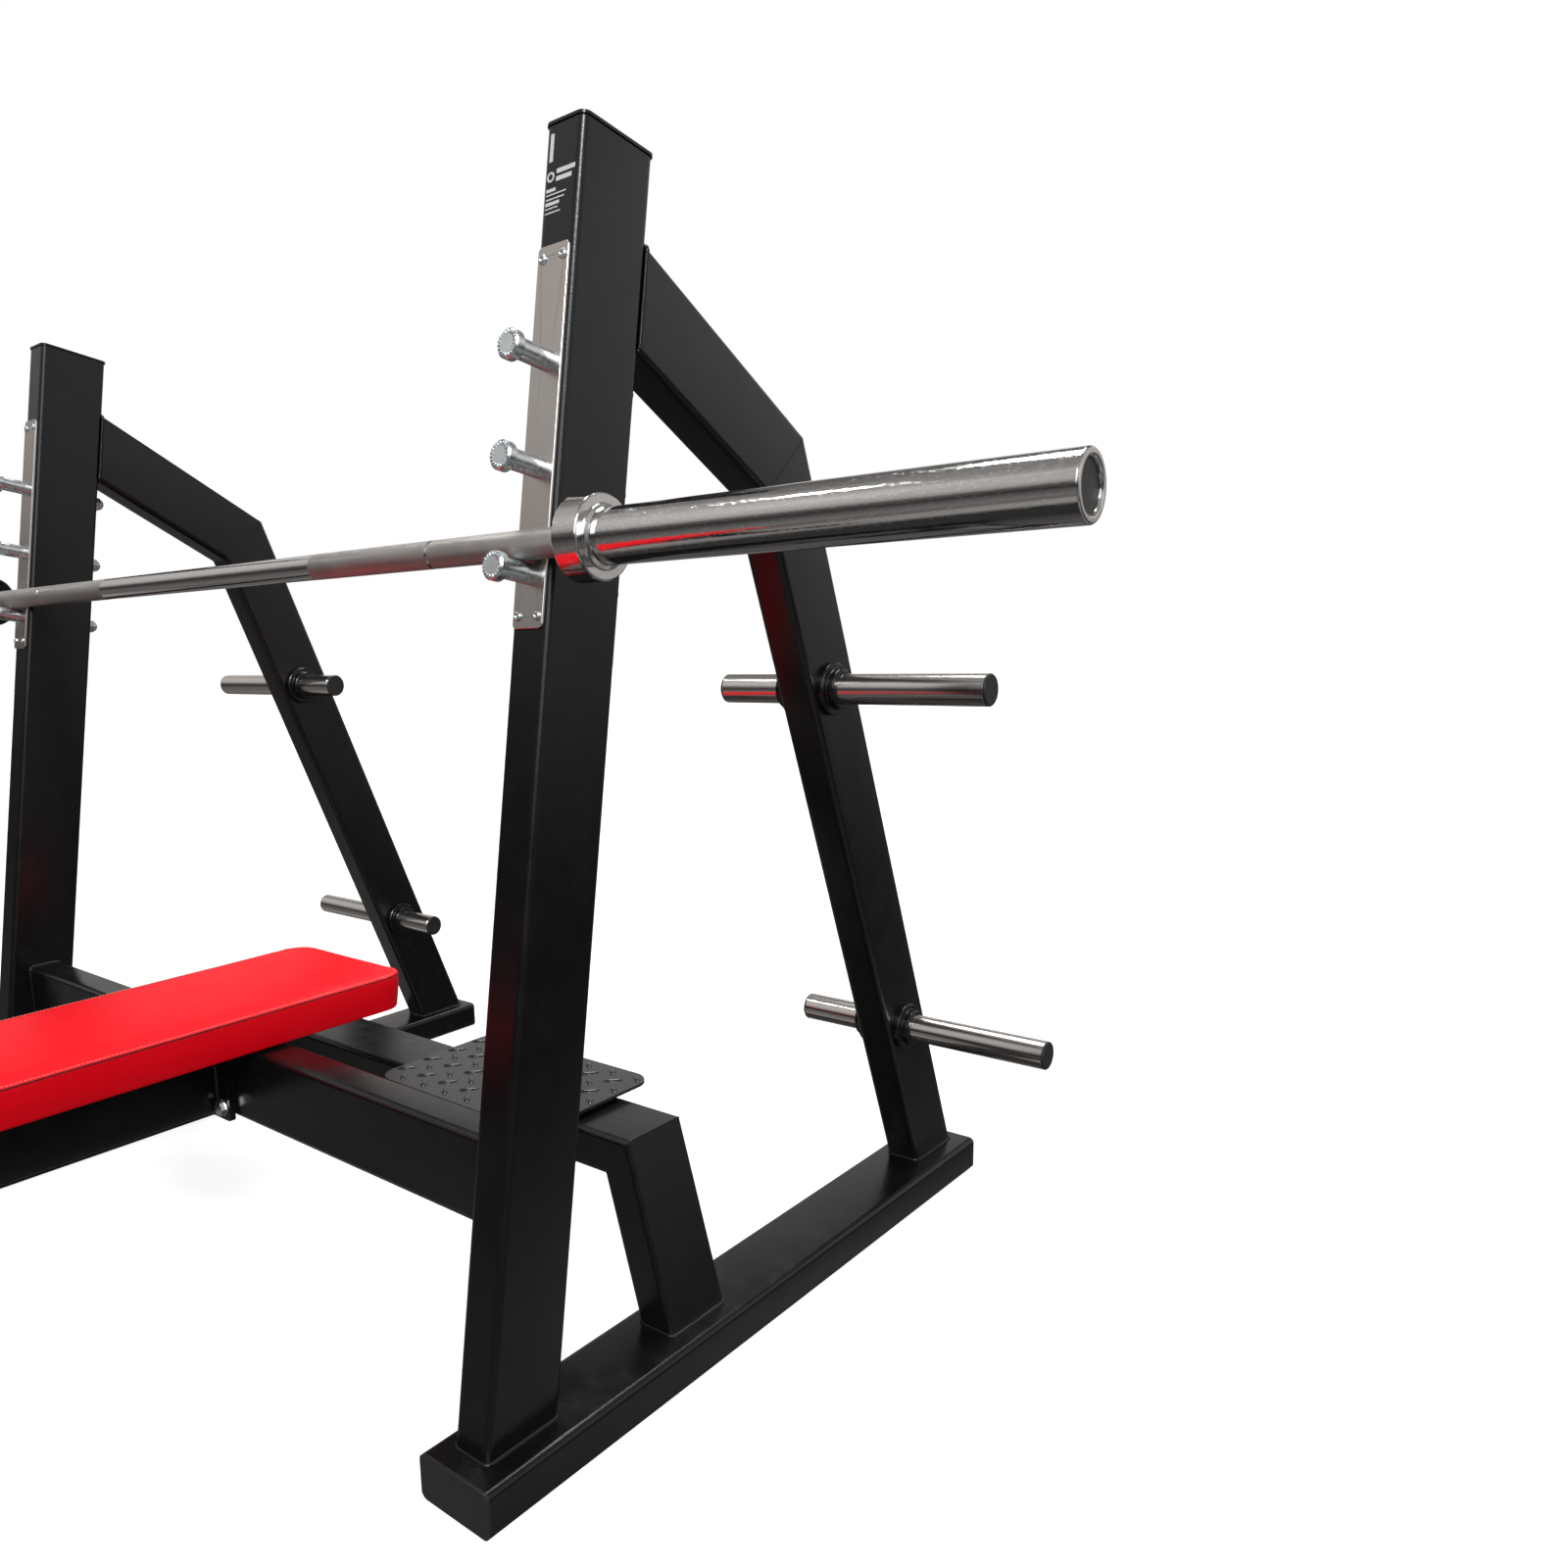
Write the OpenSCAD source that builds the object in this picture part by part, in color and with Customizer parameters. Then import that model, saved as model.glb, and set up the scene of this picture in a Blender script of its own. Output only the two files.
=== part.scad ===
// Olympic bench press: fixed twin-frame stand, spotter plates, flat bench and barbell.
// X runs along the bar, Y from the bench's foot end to the back, Z up. The floor is z = 0,
// and x = y = 0 is the middle of the footprint's box.

/* [Frame tube] */
// Wide side of the main tube
tube_w = 100; // [80:1:120]
// Narrow side of the main tube
tube_t = 50; // [40:1:60]
// Wall of the main tube
wall = 3; // [2:0.5:5]
// Outer corner radius of the main tube
corner_r = 8; // [4:1:12]

/* [Side frames] */
// Distance from the centre plane to each upright's centre
upright_x = 579; // [540:1:620]
// Distance from the centre plane to each base rail's centre
rail_x = 584; // [540:1:630]
// Front end of the base rails
rail_front = -100; // [-150:1:-70]
// Back end of the base rails
rail_back = 921; // [850:1:1000]
// Lean of the uprights towards the back
rake = 9.3; // [0:0.1:15]
// Front face of the upright at the rail's top
upright_y = -72.5; // [-90:0.5:-50]
// Length of the upright along its front face
upright_len = 1284; // [1100:1:1400]
// Height at which the brace arm's top edge meets the upright
arm_z = 1220; // [1100:1:1260]
// Brace knee, distance from the middle
knee_y = 500; // [410:1:570]
// Brace knee, height
knee_z = 1065; // [950:1:1120]
// Back edge of the brace leg where it meets the rail
leg_foot_y = 902; // [830:1:915]

/* [Bar catches] */
// Distance along the upright to the lowest catch pin
catch_low = 863; // [700:1:950]
// Spacing of the catch pins
catch_pitch = 100; // [70:1:130]
// Catch pins on each upright
catch_count = 3; // [1:1:4]
// Radius of the pin where the bar rests
catch_r = 10; // [8:0.5:14]
// Radius of the pin's head
catch_head_r = 14; // [12:0.5:20]
// Thickness of the pin's head
catch_head_t = 11; // [6:0.5:15]
// Reach of the head's front face from the upright
catch_reach = 53; // [45:1:70]
// Radius of the threaded part of the pin
catch_stud_r = 6; // [5:0.5:8]
// Width of the wear plate
wear_w = 40; // [30:1:46]
// Thickness of the wear plate
wear_t = 3; // [2:0.5:5]
// Lower end of the wear plate, along the upright
wear_low = 812; // [700:1:850]
// Upper end of the wear plate, along the upright
wear_top = 1170; // [1080:1:1240]

/* [Weight storage] */
// Radius of the storage pegs
peg_r = 19; // [15:0.5:25]
// Outer peg end, from the upright's centre plane
peg_out = 236; // [150:1:300]
// Inner peg end, from the upright's centre plane
peg_in = 134; // [80:1:200]
// Distance along the leg from the knee to the upper peg
peg_upper = 298; // [200:1:400]
// Distance along the leg from the knee to the lower peg
peg_lower = 828; // [650:1:900]
// Offset of the pegs towards the leg's front side
peg_off = 8; // [0:1:12]
// Radius of the peg flange
flange_r = 33; // [26:0.5:40]

/* [Cross members] */
// Front face of the front beam
beam_y = 4; // [-20:1:30]
// Top of the front beam
beam_top = 344; // [300:1:400]
// Front edge of the rear bridge
bridge_y = 210; // [170:1:270]
// Top of the rear bridge
bridge_top = 270; // [220:1:320]
// Half length of the rear bridge along its top
bridge_half = 546; // [480:1:560]
// Outer edge of the bridge legs at the rail
bridge_foot_x = 608; // [580:1:630]

/* [Spotter plates] */
// Distance from the centre plane to each plate's centre
plate_x = 307; // [260:1:340]
// Centre of the plates behind the middle
plate_y = 258; // [230:1:290]
// Width of each plate
plate_w = 300; // [220:1:340]
// Depth of each plate
plate_d = 212; // [160:1:260]
// Thickness of each plate
plate_t = 4; // [3:0.5:6]
// Thickness of the spacer under each plate
spacer_t = 6; // [3:0.5:12]
// Corner radius of the plates
plate_r = 28; // [10:1:50]

/* [Bench] */
// Underside of the bench tube
bench_z = 246; // [200:1:300]
// Front end of the bench tube
bench_front = -830; // [-880:1:-670]
// Half width of the end flange
flange_half = 52; // [45:1:70]
// Underside of the end flange
flange_z = 239; // [220:1:250]
// Thickness of the end flange
flange_t = 8; // [5:1:12]
// Width of the foot across the floor
foot_w = 440; // [300:1:600]
// Underside of the pad
pad_z = 350; // [320:1:400]
// Thickness of the pad
pad_t = 54; // [45:1:80]
// Half width of the pad
pad_half = 127; // [110:1:160]
// Head end of the pad
pad_back = 240; // [180:1:270]
// Foot end of the pad
pad_front = -921; // [-1000:1:-770]
// Corner radius of the pad
pad_r = 35; // [20:1:80]
// Thickness of the pad's board
board_t = 15; // [9:1:18]

/* [Barbell] */
// Radius of the shaft
shaft_r = 14; // [12:0.5:15]
// Half of the distance between the collars
collar_x = 655; // [650:1:660]
// Width of the collar
collar_w = 30; // [20:1:35]
// Radius of the collar
collar_r = 38.5; // [34:0.5:42]
// Radius of the sleeve
sleeve_r = 25; // [24:0.1:25]
// Half of the bar's full length
bar_half = 1110; // [1000:1:1120]

/* [Hidden] */
$fn = 96;
eps = 0.01;
gap = 0.3;
big = 3000;
rail_t = tube_t;
upright_in = upright_x - tube_t / 2;
// Brace geometry in the YZ plane
back_y0 = upright_y + tube_w / cos(rake);
arm_y = back_y0 + (arm_z - rail_t) * tan(rake);
arm_len = norm([knee_y - arm_y, knee_z - arm_z]);
arm_u = [(knee_y - arm_y) / arm_len, (knee_z - arm_z) / arm_len];
leg_len = norm([leg_foot_y - knee_y, rail_t - knee_z]);
leg_u = [(leg_foot_y - knee_y) / leg_len, (rail_t - knee_z) / leg_len];
arm_n = [arm_u[1], -arm_u[0]];
leg_n = [leg_u[1], -leg_u[0]];
knee_k = tube_w / (1 + arm_n * leg_n);
knee_in = [knee_y, knee_z] + knee_k * (arm_n + leg_n);
mitre = knee_in - [knee_y, knee_z];
arm_tilt = atan2(arm_u[1], arm_u[0]);
leg_tilt = atan2(leg_u[1], leg_u[0]);
// Catch and bar geometry in the upright's frame
head_back = catch_reach - catch_head_t;
bar_local_y = -(wear_t + gap + shaft_r);
bar_local_z = catch_low + catch_r + gap + shaft_r;
bar_y = upright_y + bar_local_y * cos(rake) + bar_local_z * sin(rake);
bar_z = rail_t - bar_local_y * sin(rake) + bar_local_z * cos(rake);
// Rear bridge in the XZ plane
bleg_len = norm([bridge_foot_x - bridge_half, rail_t - bridge_top]);
bleg_u = [(bridge_foot_x - bridge_half) / bleg_len, (rail_t - bridge_top) / bleg_len];
bleg_n = [bleg_u[1], -bleg_u[0]];
bleg_k = tube_t / (1 + bleg_n * [0, -1]);
bridge_in = [bridge_half, bridge_top] + bleg_k * (bleg_n + [0, -1]);
bleg_tilt = atan2(bleg_u[1], bleg_u[0]);
// Small parts
cap_t = 3;
lug_t = 4;
bolt_x = 38;
bolt_low = 256;
bolt_high = 331;
bolt_r = 5;
bolt_hole_r = 5.3;
screw_x = 13;
screw_r = 2.5;
brackets = [-710, -330];
bracket_half = 90;
bracket_d = 50;
pad_bolt_x = 70;
head_plate_back = 130;
head_bolt_y = 95;
pad_bolt_r = 4;
foot_y = bench_front + tube_w / 2;
seat_r = 18;
flange_l = 18;
flange_out = tube_t / 2 + flange_l;
groove_w = 3;
groove_d = 0.6;

// Flat shape with rounded corners, centred
module rounded(w, h, r) {
    square([w - 2 * r, h], center = true);
    square([w, h - 2 * r], center = true);
    for (i = [-1, 1], j = [-1, 1]) {
        translate([i * (w / 2 - r), j * (h / 2 - r)]) circle(r);
    }
}

// Section of the main tube, wide side along y
module section(w = tube_t, h = tube_w) {
    difference() {
        rounded(w, h, corner_r);
        rounded(w - 2 * wall, h - 2 * wall, corner_r - wall);
    }
}

// Prism along X from a profile in the YZ plane
module yz_prism(pts, x0, x1) {
    translate([x0, 0, 0]) rotate([90, 0, 90]) linear_extrude(x1 - x0) polygon(pts);
}

// Prism along Y from a profile in the XZ plane
module xz_prism(pts, y0, y1) {
    translate([0, y1, 0]) rotate([90, 0, 0]) linear_extrude(y1 - y0) polygon(pts);
}

// Round bar along X between two stations
module rod_x(r, x0, x1) {
    translate([min(x0, x1), 0, 0]) rotate([0, 90, 0]) cylinder(r = r, h = abs(x1 - x0));
}

// Ring along X between two stations
module ring_x(r, ri, x0, x1) {
    difference() {
        rod_x(r, x0, x1);
        rod_x(ri, min(x0, x1) - 1, max(x0, x1) + 1);
    }
}

// Places children in an upright's own frame: y into the tube, z along it
module on_upright(s) {
    translate([s * upright_x, upright_y, rail_t]) rotate([-rake, 0, 0]) children();
}

// Places children on the centre line of a catch pin, with z pointing out of the front face
module on_catch(s, i) {
    on_upright(s) translate([0, 0, catch_low + i * catch_pitch]) rotate([90, 0, 0]) children();
}

// Places children on a storage peg's centre line
module on_peg(s, d) {
    c = [knee_y, knee_z] + leg_u * d + leg_n * (tube_w / 2 + peg_off);
    translate([s * upright_x, c[0], c[1]]) children();
}

// Places children on the bar's centre line
module on_bar() {
    translate([0, bar_y, bar_z]) children();
}

module base_rail(s) {
    color("black") translate([s * rail_x, rail_front + cap_t, rail_t / 2]) rotate([-90, 0, 0])
        linear_extrude(rail_back - rail_front - 2 * cap_t) section(tube_w, tube_t);
}

module end_plug() {
    linear_extrude(cap_t) rounded(tube_w, tube_t, corner_r);
    translate([0, 0, -12]) linear_extrude(12 + eps)
        rounded(tube_w - 2 * wall - gap, tube_t - 2 * wall - gap, corner_r - wall);
}

module rail_end_caps() {
    color("dimgray") for (s = [-1, 1]) {
        translate([s * rail_x, rail_front + cap_t, rail_t / 2]) rotate([90, 0, 0]) end_plug();
        translate([s * rail_x, rail_back - cap_t, rail_t / 2]) rotate([-90, 0, 0]) end_plug();
    }
}

module upright(s) {
    color("black") difference() {
        intersection() {
            on_upright(s) translate([0, tube_w / 2, -60]) linear_extrude(upright_len + 60) section();
            translate([-big / 2, -big / 2, rail_t]) cube(big);
        }
        for (i = [0 : catch_count - 1]) {
            on_catch(s, i) translate([0, 0, -tube_w - 1])
                cylinder(r = catch_stud_r + 0.2, h = tube_w + 2);
        }
        for (t = [wear_low + 12, wear_top - 12], j = [-1, 1]) {
            on_upright(s) translate([j * screw_x, -1, t]) rotate([-90, 0, 0])
                cylinder(r = screw_r + 0.1, h = 8);
        }
    }
}

module upright_top_caps() {
    color("black") for (s = [-1, 1]) {
        on_upright(s) translate([0, tube_w / 2, upright_len]) linear_extrude(cap_t)
            rounded(tube_t + 3, tube_w + 3, corner_r + 1);
    }
}

module brace_arm(s) {
    span = arm_len + 300;
    color("black") intersection() {
        translate([s * upright_x, arm_y, arm_z]) rotate([arm_tilt, 0, 0])
            translate([0, -150, -tube_w / 2]) rotate([-90, 0, 0]) linear_extrude(span) section();
        yz_prism([
            [back_y0, rail_t],
            [back_y0 + big * tan(rake) / 2, rail_t + big / 2],
            [knee_y, knee_z] - 20 * mitre / tube_w,
            [knee_y, knee_z] + 1.3 * mitre,
            [knee_y, knee_z] + 1.3 * mitre - [1, 200]
        ], s * upright_x - tube_t, s * upright_x + tube_t);
    }
}

module peg_holes(s) {
    for (d = [peg_upper, peg_lower]) {
        on_peg(s, d) rod_x(peg_r + 0.2, -tube_t, tube_t);
    }
}

module brace_leg(s) {
    color("black") difference() {
        intersection() {
            translate([s * upright_x, knee_y, knee_z]) rotate([leg_tilt, 0, 0])
                translate([0, -150, -tube_w / 2]) rotate([-90, 0, 0])
                    linear_extrude(leg_len + 300) section();
            yz_prism([
                [knee_y, knee_z] - 20 * mitre / tube_w,
                [knee_y, knee_z] + 1.3 * mitre,
                [knee_y - 200, rail_t],
                [leg_foot_y + 200, rail_t],
                [leg_foot_y + 200, knee_z]
            ], s * upright_x - tube_t, s * upright_x + tube_t);
        }
        peg_holes(s);
    }
}

module flange_bolt_spots() {
    for (i = [-1, 1], z = [bolt_low, bolt_high]) {
        translate([i * bolt_x, 0, z]) children();
    }
}

module front_beam() {
    color("black") difference() {
        translate([-upright_in, beam_y + tube_t / 2, beam_top - tube_w / 2]) rotate([90, 0, 90])
            linear_extrude(2 * upright_in) section();
        flange_bolt_spots() translate([0, beam_y - 1, 0]) rotate([-90, 0, 0])
            cylinder(r = bolt_hole_r, h = tube_t + 2);
    }
}

module rear_bridge() {
    color("black") intersection() {
        translate([-bridge_half, bridge_y + tube_w / 2, bridge_top - tube_t / 2])
            rotate([90, 0, 90]) linear_extrude(2 * bridge_half) section(tube_w, tube_t);
        xz_prism([
            [-bridge_half, bridge_top],
            [bridge_half, bridge_top],
            [bridge_in[0], bridge_in[1]],
            [-bridge_in[0], bridge_in[1]]
        ], bridge_y - 1, bridge_y + tube_w + 1);
    }
}

module bridge_leg_right_shape() {
    intersection() {
        translate([bridge_half, bridge_y + tube_w / 2, bridge_top]) rotate([0, -bleg_tilt, 0])
            translate([-100, 0, -tube_t / 2]) rotate([90, 0, 90])
                linear_extrude(bleg_len + 200) section(tube_w, tube_t);
        xz_prism([
            [bridge_half, bridge_top],
            [bridge_in[0], bridge_in[1]],
            [bridge_in[0] - 60, rail_t],
            [bridge_foot_x + 60, rail_t],
            [bridge_foot_x + 60, bridge_top]
        ], bridge_y - 1, bridge_y + tube_w + 1);
    }
}

module bridge_leg(s) {
    color("black") if (s > 0) {
        bridge_leg_right_shape();
    } else {
        mirror([1, 0, 0]) bridge_leg_right_shape();
    }
}

module wear_plate(s) {
    color("silver") difference() {
        on_upright(s) translate([0, 0, (wear_low + wear_top) / 2]) rotate([90, 0, 0])
            linear_extrude(wear_t) rounded(wear_w, wear_top - wear_low, 5);
        for (i = [0 : catch_count - 1]) {
            on_catch(s, i) translate([0, 0, -1]) cylinder(r = catch_stud_r + 0.2, h = wear_t + 2);
        }
        for (t = [wear_low + 12, wear_top - 12], j = [-1, 1]) {
            on_upright(s) translate([j * screw_x, 1, t]) rotate([90, 0, 0])
                cylinder(r = screw_r + 0.1, h = wear_t + 2);
        }
    }
}

module wear_plate_screws() {
    color("silver") for (s = [-1, 1], t = [wear_low + 12, wear_top - 12], j = [-1, 1]) {
        on_upright(s) translate([j * screw_x, -wear_t, t]) rotate([90, 0, 0]) {
            translate([0, 0, -wear_t - 7]) cylinder(r = screw_r, h = wear_t + 7 + eps);
            intersection() {
                translate([0, 0, -6]) sphere(r = 8.2);
                cylinder(r = 5, h = 3);
            }
        }
    }
}

// One catch pin, z = 0 at the upright's front face
module catch_pin() {
    rotate_extrude() polygon([
        [0, -tube_w - 12],
        [catch_stud_r, -tube_w - 12],
        [catch_stud_r, wear_t],
        [catch_r, wear_t],
        [catch_r, head_back - 2],
        [catch_r + 2, head_back],
        [catch_head_r - 1, head_back],
        [catch_head_r, head_back + 1],
        [catch_head_r, catch_reach - 2],
        [catch_head_r - 2, catch_reach],
        [0, catch_reach]
    ]);
}

module catch_pins(s) {
    color("silver") for (i = [0 : catch_count - 1]) {
        on_catch(s, i) catch_pin();
    }
}

module catch_washers() {
    color("silver") for (s = [-1, 1], i = [0 : catch_count - 1]) {
        on_catch(s, i) translate([0, 0, -tube_w - 2]) difference() {
            cylinder(r = 13, h = 2);
            translate([0, 0, -1]) cylinder(r = catch_stud_r + 0.2, h = 4);
        }
    }
}

module catch_dome_nuts() {
    color("silver") for (s = [-1, 1], i = [0 : catch_count - 1]) {
        on_catch(s, i) translate([0, 0, -tube_w - 2]) mirror([0, 0, 1]) difference() {
            union() {
                cylinder(r = 10.9, h = 9, $fn = 6);
                intersection() {
                    translate([0, 0, 8]) sphere(r = 9);
                    translate([0, 0, 6]) cylinder(r = 12, h = 14);
                }
            }
            translate([0, 0, -1]) cylinder(r = catch_stud_r + 0.05, h = 12);
        }
    }
}

// Tube with a relief groove just under each flange's outer lip
module storage_peg(s, d) {
    color("silver") on_peg(s, d) difference() {
        rod_x(peg_r, -s * peg_in + s * cap_t, s * peg_out - s * cap_t);
        rod_x(peg_r - 2, -peg_out - 1, peg_out + 1);
        for (side = [-1, 1]) {
            translate([side * flange_out, 0, 0]) rotate([0, -side * 90, 0]) difference() {
                cylinder(r = peg_r + 1, h = groove_w);
                translate([0, 0, -1]) cylinder(r = peg_r - groove_d, h = groove_w + 2);
            }
        }
    }
}

module peg_flange(s, side) {
    translate([side * tube_t / 2, 0, 0]) rotate([0, side * 90, 0]) rotate_extrude() polygon([
        [peg_r + 0.1, 0],
        [flange_r, 0],
        [flange_r, 6],
        [flange_r - 2, 8],
        [peg_r + 7, 8],
        [peg_r + 6, 9],
        [peg_r + 6, flange_l - 2],
        [peg_r + 4, flange_l],
        [peg_r + 0.1, flange_l]
    ]);
}

module peg_flanges() {
    color("black") for (s = [-1, 1], d = [peg_upper, peg_lower], side = [-1, 1]) {
        on_peg(s, d) peg_flange(s, side);
    }
}

module peg_end_caps() {
    color("dimgray") for (s = [-1, 1], d = [peg_upper, peg_lower], e = [0, 1]) {
        on_peg(s, d) translate([s * (e ? peg_out : -peg_in), 0, 0])
            rotate([0, s * (e ? 90 : -90), 0]) rotate_extrude() polygon([
                [0, -18],
                [peg_r - 2.1, -18],
                [peg_r - 2.1, -cap_t],
                [peg_r, -cap_t],
                [peg_r, -1.5],
                [peg_r - 1.5, 0],
                [0, 0]
            ]);
    }
}

module spotter_spacers() {
    color("black") for (s = [-1, 1]) {
        translate([s * plate_x - plate_w / 2 + 14, bridge_y, bridge_top])
            cube([plate_w - 28, tube_w, spacer_t]);
    }
}

module spotter_plate(s) {
    color("dimgray") translate([s * plate_x, plate_y, bridge_top + spacer_t])
        linear_extrude(plate_t) rounded(plate_w, plate_d, plate_r);
}

module bench_tube() {
    y0 = bench_front + cap_t;
    color("black") translate([0, y0, bench_z + tube_w / 2]) rotate([-90, 0, 0])
        linear_extrude(beam_y - flange_t - y0) section();
}

module bench_tube_cap() {
    color("dimgray") translate([0, bench_front + cap_t, bench_z + tube_w / 2])
        rotate([90, 90, 0]) end_plug();
}

module bench_flange() {
    h = beam_top - flange_z;
    color("black") difference() {
        translate([0, beam_y, flange_z + h / 2]) rotate([90, 0, 0]) linear_extrude(flange_t)
            rounded(2 * flange_half, h, 4);
        flange_bolt_spots() translate([0, beam_y - flange_t - 1, 0]) rotate([-90, 0, 0])
            cylinder(r = bolt_hole_r, h = flange_t + 2);
    }
}

module flange_bolts() {
    color("silver") flange_bolt_spots() translate([0, beam_y - flange_t - 2, 0])
        rotate([90, 0, 0]) {
            cylinder(r = 9.8, h = 6.4, $fn = 6);
            translate([0, 0, -flange_t - tube_t - 16]) cylinder(r = bolt_r, h = flange_t + tube_t + 17);
        }
}

module flange_washers() {
    color("silver") flange_bolt_spots() for (y = [beam_y - flange_t - 2, beam_y + tube_t]) {
        translate([0, y, 0]) rotate([-90, 0, 0]) difference() {
            cylinder(r = 11, h = 2);
            translate([0, 0, -1]) cylinder(r = bolt_r + 0.2, h = 4);
        }
    }
}

module flange_nuts() {
    color("silver") flange_bolt_spots() translate([0, beam_y + tube_t + 2, 0])
        rotate([-90, 0, 0]) difference() {
            cylinder(r = 9.8, h = 9, $fn = 6);
            translate([0, 0, -1]) cylinder(r = bolt_r + 0.05, h = 11);
        }
}

module bench_front_leg() {
    color("black") translate([0, foot_y, tube_t]) linear_extrude(bench_z - tube_t) section();
}

module bench_foot() {
    color("black") translate([-foot_w / 2 + cap_t, foot_y, tube_t / 2]) rotate([90, 0, 90])
        linear_extrude(foot_w - 2 * cap_t) section(tube_w, tube_t);
}

module bench_foot_caps() {
    color("dimgray") for (s = [-1, 1]) {
        translate([s * (foot_w / 2 - cap_t), foot_y, tube_t / 2]) rotate([90, 0, s * 90]) end_plug();
    }
}

module pad_bolt_spots() {
    for (i = [-1, 1]) {
        for (y = brackets) {
            translate([i * pad_bolt_x, y, 0]) children();
        }
        translate([i * pad_bolt_x, head_bolt_y, 0]) children();
    }
}

module pad_brackets() {
    color("black") difference() {
        for (y = brackets) {
            translate([-bracket_half, y - bracket_d / 2, pad_z - lug_t])
                cube([2 * bracket_half, bracket_d, lug_t]);
        }
        pad_bolt_spots() translate([0, 0, pad_z - 20]) cylinder(r = pad_bolt_r + 0.4, h = 21);
    }
}

module pad_head_bracket() {
    color("black") difference() {
        translate([-bracket_half, beam_y + 4, beam_top])
            cube([2 * bracket_half, head_plate_back - beam_y - 4, pad_z - beam_top]);
        pad_bolt_spots() translate([0, 0, pad_z - 20]) cylinder(r = pad_bolt_r + 0.4, h = 21);
    }
}

// A bolt with its head below and its shank up into the board
module pad_bolt(grip) {
    translate([0, 0, -5.3]) cylinder(r = 7.5, h = 5.3, $fn = 6);
    translate([0, 0, -1]) cylinder(r = pad_bolt_r, h = grip + 11);
}

module pad_bolts() {
    color("silver") for (i = [-1, 1]) {
        for (y = brackets) {
            translate([i * pad_bolt_x, y, pad_z - lug_t]) pad_bolt(lug_t);
        }
        translate([i * pad_bolt_x, head_bolt_y, beam_top]) pad_bolt(pad_z - beam_top);
    }
}

module pad_board() {
    color("burlywood") difference() {
        translate([0, (pad_front + pad_back) / 2, pad_z]) linear_extrude(board_t)
            rounded(2 * pad_half - 24, pad_back - pad_front - 24, pad_r - 12);
        pad_bolt_spots() translate([0, 0, pad_z - 1]) cylinder(r = pad_bolt_r + 0.1, h = 12);
    }
}

module pad_cushion() {
    color("red") difference() {
        translate([0, (pad_front + pad_back) / 2, pad_z]) hull() {
            linear_extrude(pad_t - 9) rounded(2 * pad_half, pad_back - pad_front, pad_r);
            linear_extrude(pad_t - 6.5)
                rounded(2 * pad_half - 6, pad_back - pad_front - 6, pad_r - 3);
            linear_extrude(pad_t - 2) rounded(2 * pad_half - 50, pad_back - pad_front - 50, pad_r - 20);
            linear_extrude(pad_t) rounded(2 * pad_half - 110, pad_back - pad_front - 110, pad_r - 25);
        }
        translate([0, (pad_front + pad_back) / 2, pad_z - 1]) linear_extrude(board_t + 1 + gap)
            rounded(2 * pad_half - 23.4, pad_back - pad_front - 23.4, pad_r - 11.7);
    }
}

module bar_shaft() {
    color("silver") on_bar() difference() {
        rod_x(shaft_r, -bar_half + 18, bar_half - 18);
        for (s = [-1, 1], x = [collar_x + 2, bar_half - 27]) {
            ring_x(shaft_r + 1, shaft_r - 1, s * x, s * (x + 2));
        }
    }
}

module shaft_retaining_rings() {
    color("gray") on_bar() for (s = [-1, 1], x = [collar_x + 2, bar_half - 27]) {
        ring_x(seat_r - 0.6, shaft_r - 1, s * x, s * (x + 2));
    }
}

module shaft_thrust_washers() {
    color("gray") on_bar() for (s = [-1, 1]) {
        ring_x(seat_r - 0.4, shaft_r + 0.1, s * (bar_half - 29.6), s * (bar_half - 27.4));
    }
}

module sleeve(s) {
    color("silver") on_bar() rotate([0, s * 90, 0]) rotate_extrude() polygon([
        [seat_r + 2, collar_x],
        [collar_r - 1.5, collar_x],
        [collar_r, collar_x + 1.5],
        [collar_r, collar_x + collar_w - 1.5],
        [collar_r - 1.5, collar_x + collar_w],
        [sleeve_r + 4, collar_x + collar_w],
        [sleeve_r + 4, collar_x + collar_w + 2],
        [sleeve_r, collar_x + collar_w + 4],
        [sleeve_r, bar_half - 1.5],
        [sleeve_r - 1.5, bar_half],
        [seat_r + 2, bar_half],
        [seat_r, bar_half - 2],
        [seat_r, collar_x + 2]
    ]);
}

module sleeve_bushes(s) {
    color("goldenrod") on_bar() {
        ring_x(seat_r, shaft_r + 0.05, s * (collar_x + 5), s * (collar_x + 45));
        ring_x(seat_r, shaft_r + 0.05, s * (bar_half - 70), s * (bar_half - 30));
    }
}

module sleeve_cap(s) {
    color("black") on_bar() rod_x(seat_r, s * (bar_half - 12), s * (bar_half - 3));
}

base_rail(-1);  // base_rail_left
base_rail(1);  // base_rail_right
rail_end_caps();
upright(-1);  // upright_left
upright(1);  // upright_right
upright_top_caps();
brace_arm(-1);  // brace_arm_left
brace_arm(1);  // brace_arm_right
brace_leg(-1);  // brace_leg_left
brace_leg(1);  // brace_leg_right
front_beam();
rear_bridge();
bridge_leg(-1);  // bridge_leg_left
bridge_leg(1);  // bridge_leg_right
wear_plate(-1);  // wear_plate_left
wear_plate(1);  // wear_plate_right
wear_plate_screws();
catch_pins(-1);  // catch_pins_left
catch_pins(1);  // catch_pins_right
catch_washers();
catch_dome_nuts();
storage_peg(-1, peg_upper);  // storage_peg_upper_left
storage_peg(1, peg_upper);  // storage_peg_upper_right
storage_peg(-1, peg_lower);  // storage_peg_lower_left
storage_peg(1, peg_lower);  // storage_peg_lower_right
peg_flanges();
peg_end_caps();
spotter_spacers();
spotter_plate(-1);  // spotter_plate_left
spotter_plate(1);  // spotter_plate_right
bench_tube();
bench_tube_cap();
bench_flange();
flange_bolts();
flange_washers();
flange_nuts();
bench_front_leg();
bench_foot();
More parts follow.
